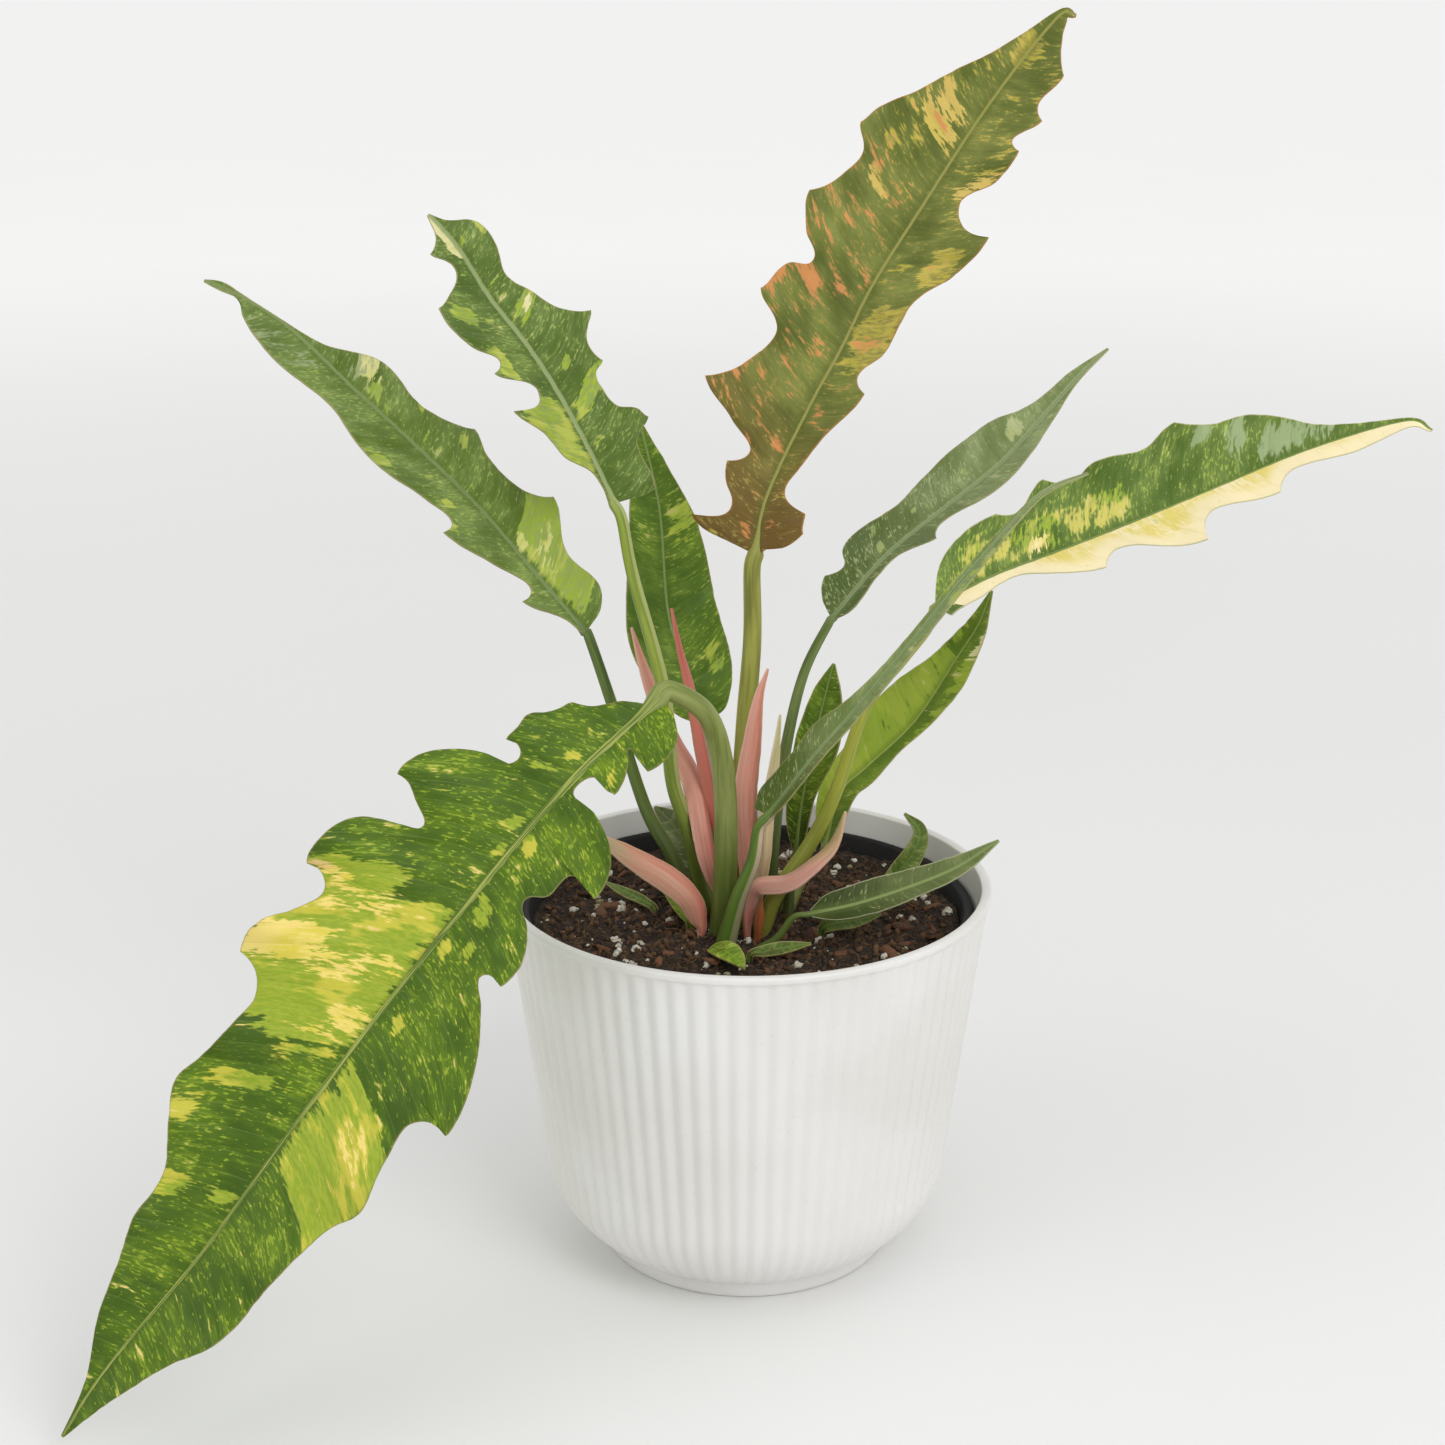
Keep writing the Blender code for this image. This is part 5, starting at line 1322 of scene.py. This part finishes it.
def sheath_finish(name, foot, middle, tip, edge, length):
    """Colour runs from foot to tip, with soft lengthwise veins, a paler thin margin and a painted
    highlight down the left half.
    """
    finish = Finish(name)
    vein, reach, rim = finish.axes(finish.mark("vein"))
    nerve = finish.cloud(finish.spot(0.04 * vein, 1.2 * reach, 0.0), 1.0, 3.0, 0.5)
    blotch = finish.cloud(finish.spot(0.10 * vein, 0.25 * reach, 5.0), 1.0, 3.0)
    height = (1 / length) * vein + 0.35 * (blotch - 0.5)
    colour = height.between(0.05, 0.45).tint(foot, middle)
    colour = height.between(0.6, 1.0).tint(colour, tip)
    colour = (0.35 * nerve.between(0.42, 0.7)).tint(colour, edge)
    # Painted highlight: the left half is paler, tinted towards the edge colour.
    colour = (0.3 * reach.between(2.0, -2.5)).tint(colour, edge)
    colour = (0.6 * rim.between(0.9, 0.1)).tint(colour, edge)
    return finish.coat(colour, 0.42 + 0.1 * nerve, nerve, 0.08, gloss=0.35)


def foot_of(x, y):
    """The lowest points of a stem: straight down into its hole in the soil."""
    return [(x, y, HOLE_FLOOR), (x, y, SOIL_TOP + 1.0)]


def add_sheath(name, route, face, half_width, tones, fold, stub=0.0):
    """A sheath, rounded to the front and rolled back at its margins. tones are its colours at the
    foot, in the middle, at the tip and along the edge, the last also its painted highlight."""
    rib = Rib(route, (face, face))
    knots = pointed_margin(rib.length, half_width, stub)
    skin = blade_skin(rib, knots, knots, fold=-fold, curl=1.0, quilt=0.0, **NO_MIDRIB)
    finish = sheath_finish(f"{name}_skin", *tones, rib.length)
    add_piece(f"{name}_skin", skin, finish, [name], LEAF_MARKS)


SALMON = (209, 134, 114)
DEEP_PINK = (190, 98, 84)
CREAM_PINK = (234, 188, 168)
ON_CROWN = CROWN_TOP + GAP
LEFT_FACE, FRONT_FACE = (0.5, -0.8, 0.3), (0.1, -1.0, 0.3)
for name, route, face, half_width, tones, slot in (
    ("left_sheath", [(-8, -1, ON_CROWN + 0.5), (-12, 0, 139), (-16.7, 19, 159), (-25, 29, 172),
                     (-34, 34, 194), (-39, 35, 209)], LEFT_FACE, 5.2,
     (DEEP_PINK, SALMON, SALMON, CREAM_PINK), "pink_sheath"),
    ("slim_sheath", [(-4, 6, ON_CROWN), (-8, 11, 142), (-13, 16, 164), (-18, 20, 190),
                     (-22, 22, 205), (-25, 23, 219)], LEFT_FACE, 3.2,
     (DEEP_PINK, (198, 106, 93), (180, 80, 70), SALMON), "pink_sheath"),
    ("centre_sheath", [(0, -2, ON_CROWN), (1, -3, 135), (0, -2, 160), (2, 0, 178),
                       (4, 1, 194), (7, 2, 204)], FRONT_FACE, 5.0,
     ((178, 104, 82), SALMON, (214, 134, 116), CREAM_PINK), "pink_sheath"),
    ("pale_sheath", [(4, -4, ON_CROWN), (6, -6, 140), (7, -6, 156), (9, -5, 170),
                     (11, -4, 190)], FRONT_FACE, 3.2,
     ((190, 150, 104), (226, 200, 156), (176, 178, 110), (240, 226, 190)),
     "pale_sheath"),
):
    add_sheath(name, route, face, half_width, tones, 38.0)
for name, place, way, face, half_width, tones, slot, fold in (
    ("right_sheath", (0, -14), [(0, -14, 127), (3, -16, 135), (13, -20, 138), (22, -21, 145),
                                (28, -20, 151), (32, -20, 162)], (-0.3, -0.6, 0.8), 4.0,
     (DEEP_PINK, (214, 154, 138), (152, 150, 66), CREAM_PINK), "pink_sheath", 30.0),
    ("low_sheath", (-15, -16), [(-15, -16, 121), (-18, -16, 130), (-25, -15, 137), (-35, -14, 143),
                                (-45, -14, 149), (-53, -13, 152)], (0.2, -0.7, 0.7), 5.6,
     ((200, 96, 86), SALMON, (168, 160, 116), (220, 190, 160)), "pink_sheath", 30.0),
    ("dry_sheath", (4, -18), [(4, -18, 121), (5, -17, 130)], (0.1, -0.9, 0.3), 1.8,
     ((104, 58, 34), (150, 82, 46), (170, 100, 58), (146, 88, 52)),
     "dry_sheath", 25.0),
):
    add_sheath(name, [*foot_of(*place), *way], face, half_width, tones, fold, SOIL_STUB)

# Leaflets
# Seven small first leaves that come straight out of the soil and lean over it, most of them
# half hidden.

GREEN = ((66, 86, 22), (108, 130, 58), (142, 160, 82))
LIGHT_GREEN = ((88, 120, 26), (132, 160, 46), (184, 198, 84))
OLIVE_GREEN = ((82, 104, 40), (116, 138, 66), (160, 172, 100))
GREY_GREEN = ((82, 98, 54), (120, 134, 88), (156, 168, 118))
for number, (name, place, way, face, half_width, greens, slot, fold) in enumerate(
    (
        ("curled_leaflet", (47, 18), [(51, 20, 123), (58, 22, 132), (60, 24, 139), (55, 25, 145)],
         (0.3, -0.8, 0.3), 4.4, OLIVE_GREEN, "variegated_leaf", 25.0),
        ("back_leaflet", (-17, 30), [(-19, 31, 126), (-25, 36, 136), (-32, 40, 142)],
         (0.3, -0.8, 0.5), 6.8, GREY_GREEN, "grey_green_leaf", 15.0),
        ("under_leaflet", (25, -14), [(28, -15, 120), (36, -14, 121), (45, -13, 123)],
         (0.0, -0.5, 0.8), 3.6, GREEN, "variegated_leaf", 15.0),
        ("front_leaflet", (-11, -29), [(-9, -33, 119), (-5, -40, 119.5), (-1, -48, 119)],
         (0.1, -0.6, 0.8), 4.4, LIGHT_GREEN, "variegated_leaf", 15.0),
        ("side_leaflet", (1, -33), [(6, -33, 118), (13, -32, 119), (21, -31, 120)],
         (0.0, -0.5, 0.8), 2.6, GREEN, "variegated_leaf", 15.0),
        ("edge_leaflet", (-31, 5), [(-35, 8, 119), (-42, 14, 120), (-49, 21, 121)],
         (0.1, -0.5, 0.8), 2.2, GREEN, "variegated_leaf", 15.0),
        ("thin_leaflet", (-19, -7), [(-21, -5, 119), (-25, 1, 122), (-28, 5, 124)],
         (0.2, -0.5, 0.8), 1.8, LIGHT_GREEN, "variegated_leaf", 15.0),
    )
):
    rib = Rib([*foot_of(*place), *way], (face, face))
    knots = pointed_margin(rib.length, half_width, SOIL_STUB)
    skin = blade_skin(rib, knots, knots, 201 + 10 * number, fold=fold, quilt=0.1, **NO_MIDRIB)
    dark, mid, light = greens
    pale = dict.fromkeys(("fleck", "lime", "yellow", "cream", "accent", "under"), light)
    tones = dict(dark=dark, mid=mid, rib=mid, **pale)
    finish = leaf_finish(f"{name}_skin", flecks=0.7, band=0.3, lines=0.0, **tones)
    add_piece(f"{name}_surface", skin, finish, [name], LEAF_MARKS)

# Studio
# Not part of the plant: a pale floor, soft daylight from all round, three large soft lamps, of
# which the one at the front right is the brightest, and the camera.

FLOOR_HALF_WIDTH = 60.0
FLOOR_GLOW = (139.45, 139.45, 139.45)  # what the floor gains far off, where the lamps fall away
GLOW_START, GLOW_END = 0.3, 3.2  # distances from the plant
DAYLIGHT = 0.72
CAMERA_PLACE = (-0.008, -0.733, 0.421)
CAMERA_TILT_DEGREES = 72.23
CAMERA_LENS = 58.0
SENSOR_WIDTH = 36.0

floor_mesh = bpy.data.meshes.new("studio_floor")
corners = np.array([(-1, -1, 0), (1, -1, 0), (1, 1, 0), (-1, 1, 0)]) * FLOOR_HALF_WIDTH
floor_mesh.from_pydata(corners.tolist(), [], [(0, 1, 2, 3)])
floor = bpy.data.objects.new("studio_floor", floor_mesh)
bpy.context.scene.collection.objects.link(floor)
floor_paint = Finish("studio_floor")
place = floor_paint.object_place()
mottle = floor_paint.cloud(place, 3.0)
far = floor_paint.node("ShaderNodeVectorMath", {"operation": "LENGTH"}, {0: place}, "Value")
glow = far.between(GLOW_START, GLOW_END).tint((0, 0, 0), FLOOR_GLOW)
floor_paint.feed(floor_paint.shader.inputs["Emission Color"], glow)
floor_paint.shader.inputs["Emission Strength"].default_value = 1.0
floor_paint.coat(mottle.tint((236, 236, 235), (240, 240, 239)), 0.8)
floor_mesh.materials.append(floor_paint.material)


def add_lamp(name, place, aim, width, watts):
    """A square soft lamp that looks at the aim."""
    lamp = bpy.data.lights.new(name, "AREA")
    lamp.size = width
    lamp.energy = watts
    held = bpy.data.objects.new(name, lamp)
    way = np.subtract(aim, place)
    yaw = math.atan2(way[1], way[0]) - math.pi / 2
    pitch = math.atan2(way[2], math.hypot(way[0], way[1])) + math.pi / 2
    held.location = place
    held.rotation_euler = (pitch, 0.0, yaw)
    bpy.context.scene.collection.objects.link(held)


PLANT_MIDDLE = (0.0, 0.0, 0.2)
add_lamp("front_right_softbox", (0.9, -1.3, 1.5), PLANT_MIDDLE, 1.0, 12.0)
add_lamp("left_softbox", (-1.6, -0.8, 1.0), PLANT_MIDDLE, 1.2, 4.5)
add_lamp("overhead_softbox", (0.2, -0.2, 2.4), PLANT_MIDDLE, 1.6, 5.0)

world = bpy.data.worlds.new("daylight")
world.use_nodes = True
sky = world.node_tree.nodes["Background"]
sky.inputs["Color"].default_value = (1.0, 1.0, 1.0, 1.0)
sky.inputs["Strength"].default_value = DAYLIGHT
bpy.context.scene.world = world
bpy.context.scene.view_settings.view_transform = "Standard"

camera = bpy.data.cameras.new("camera")
camera.lens = CAMERA_LENS
camera.sensor_width = SENSOR_WIDTH
camera_stand = bpy.data.objects.new("camera", camera)
camera_stand.location = CAMERA_PLACE
camera_stand.rotation_euler = (math.radians(CAMERA_TILT_DEGREES), 0.0, 0.0)
bpy.context.scene.collection.objects.link(camera_stand)
bpy.context.scene.camera = camera_stand
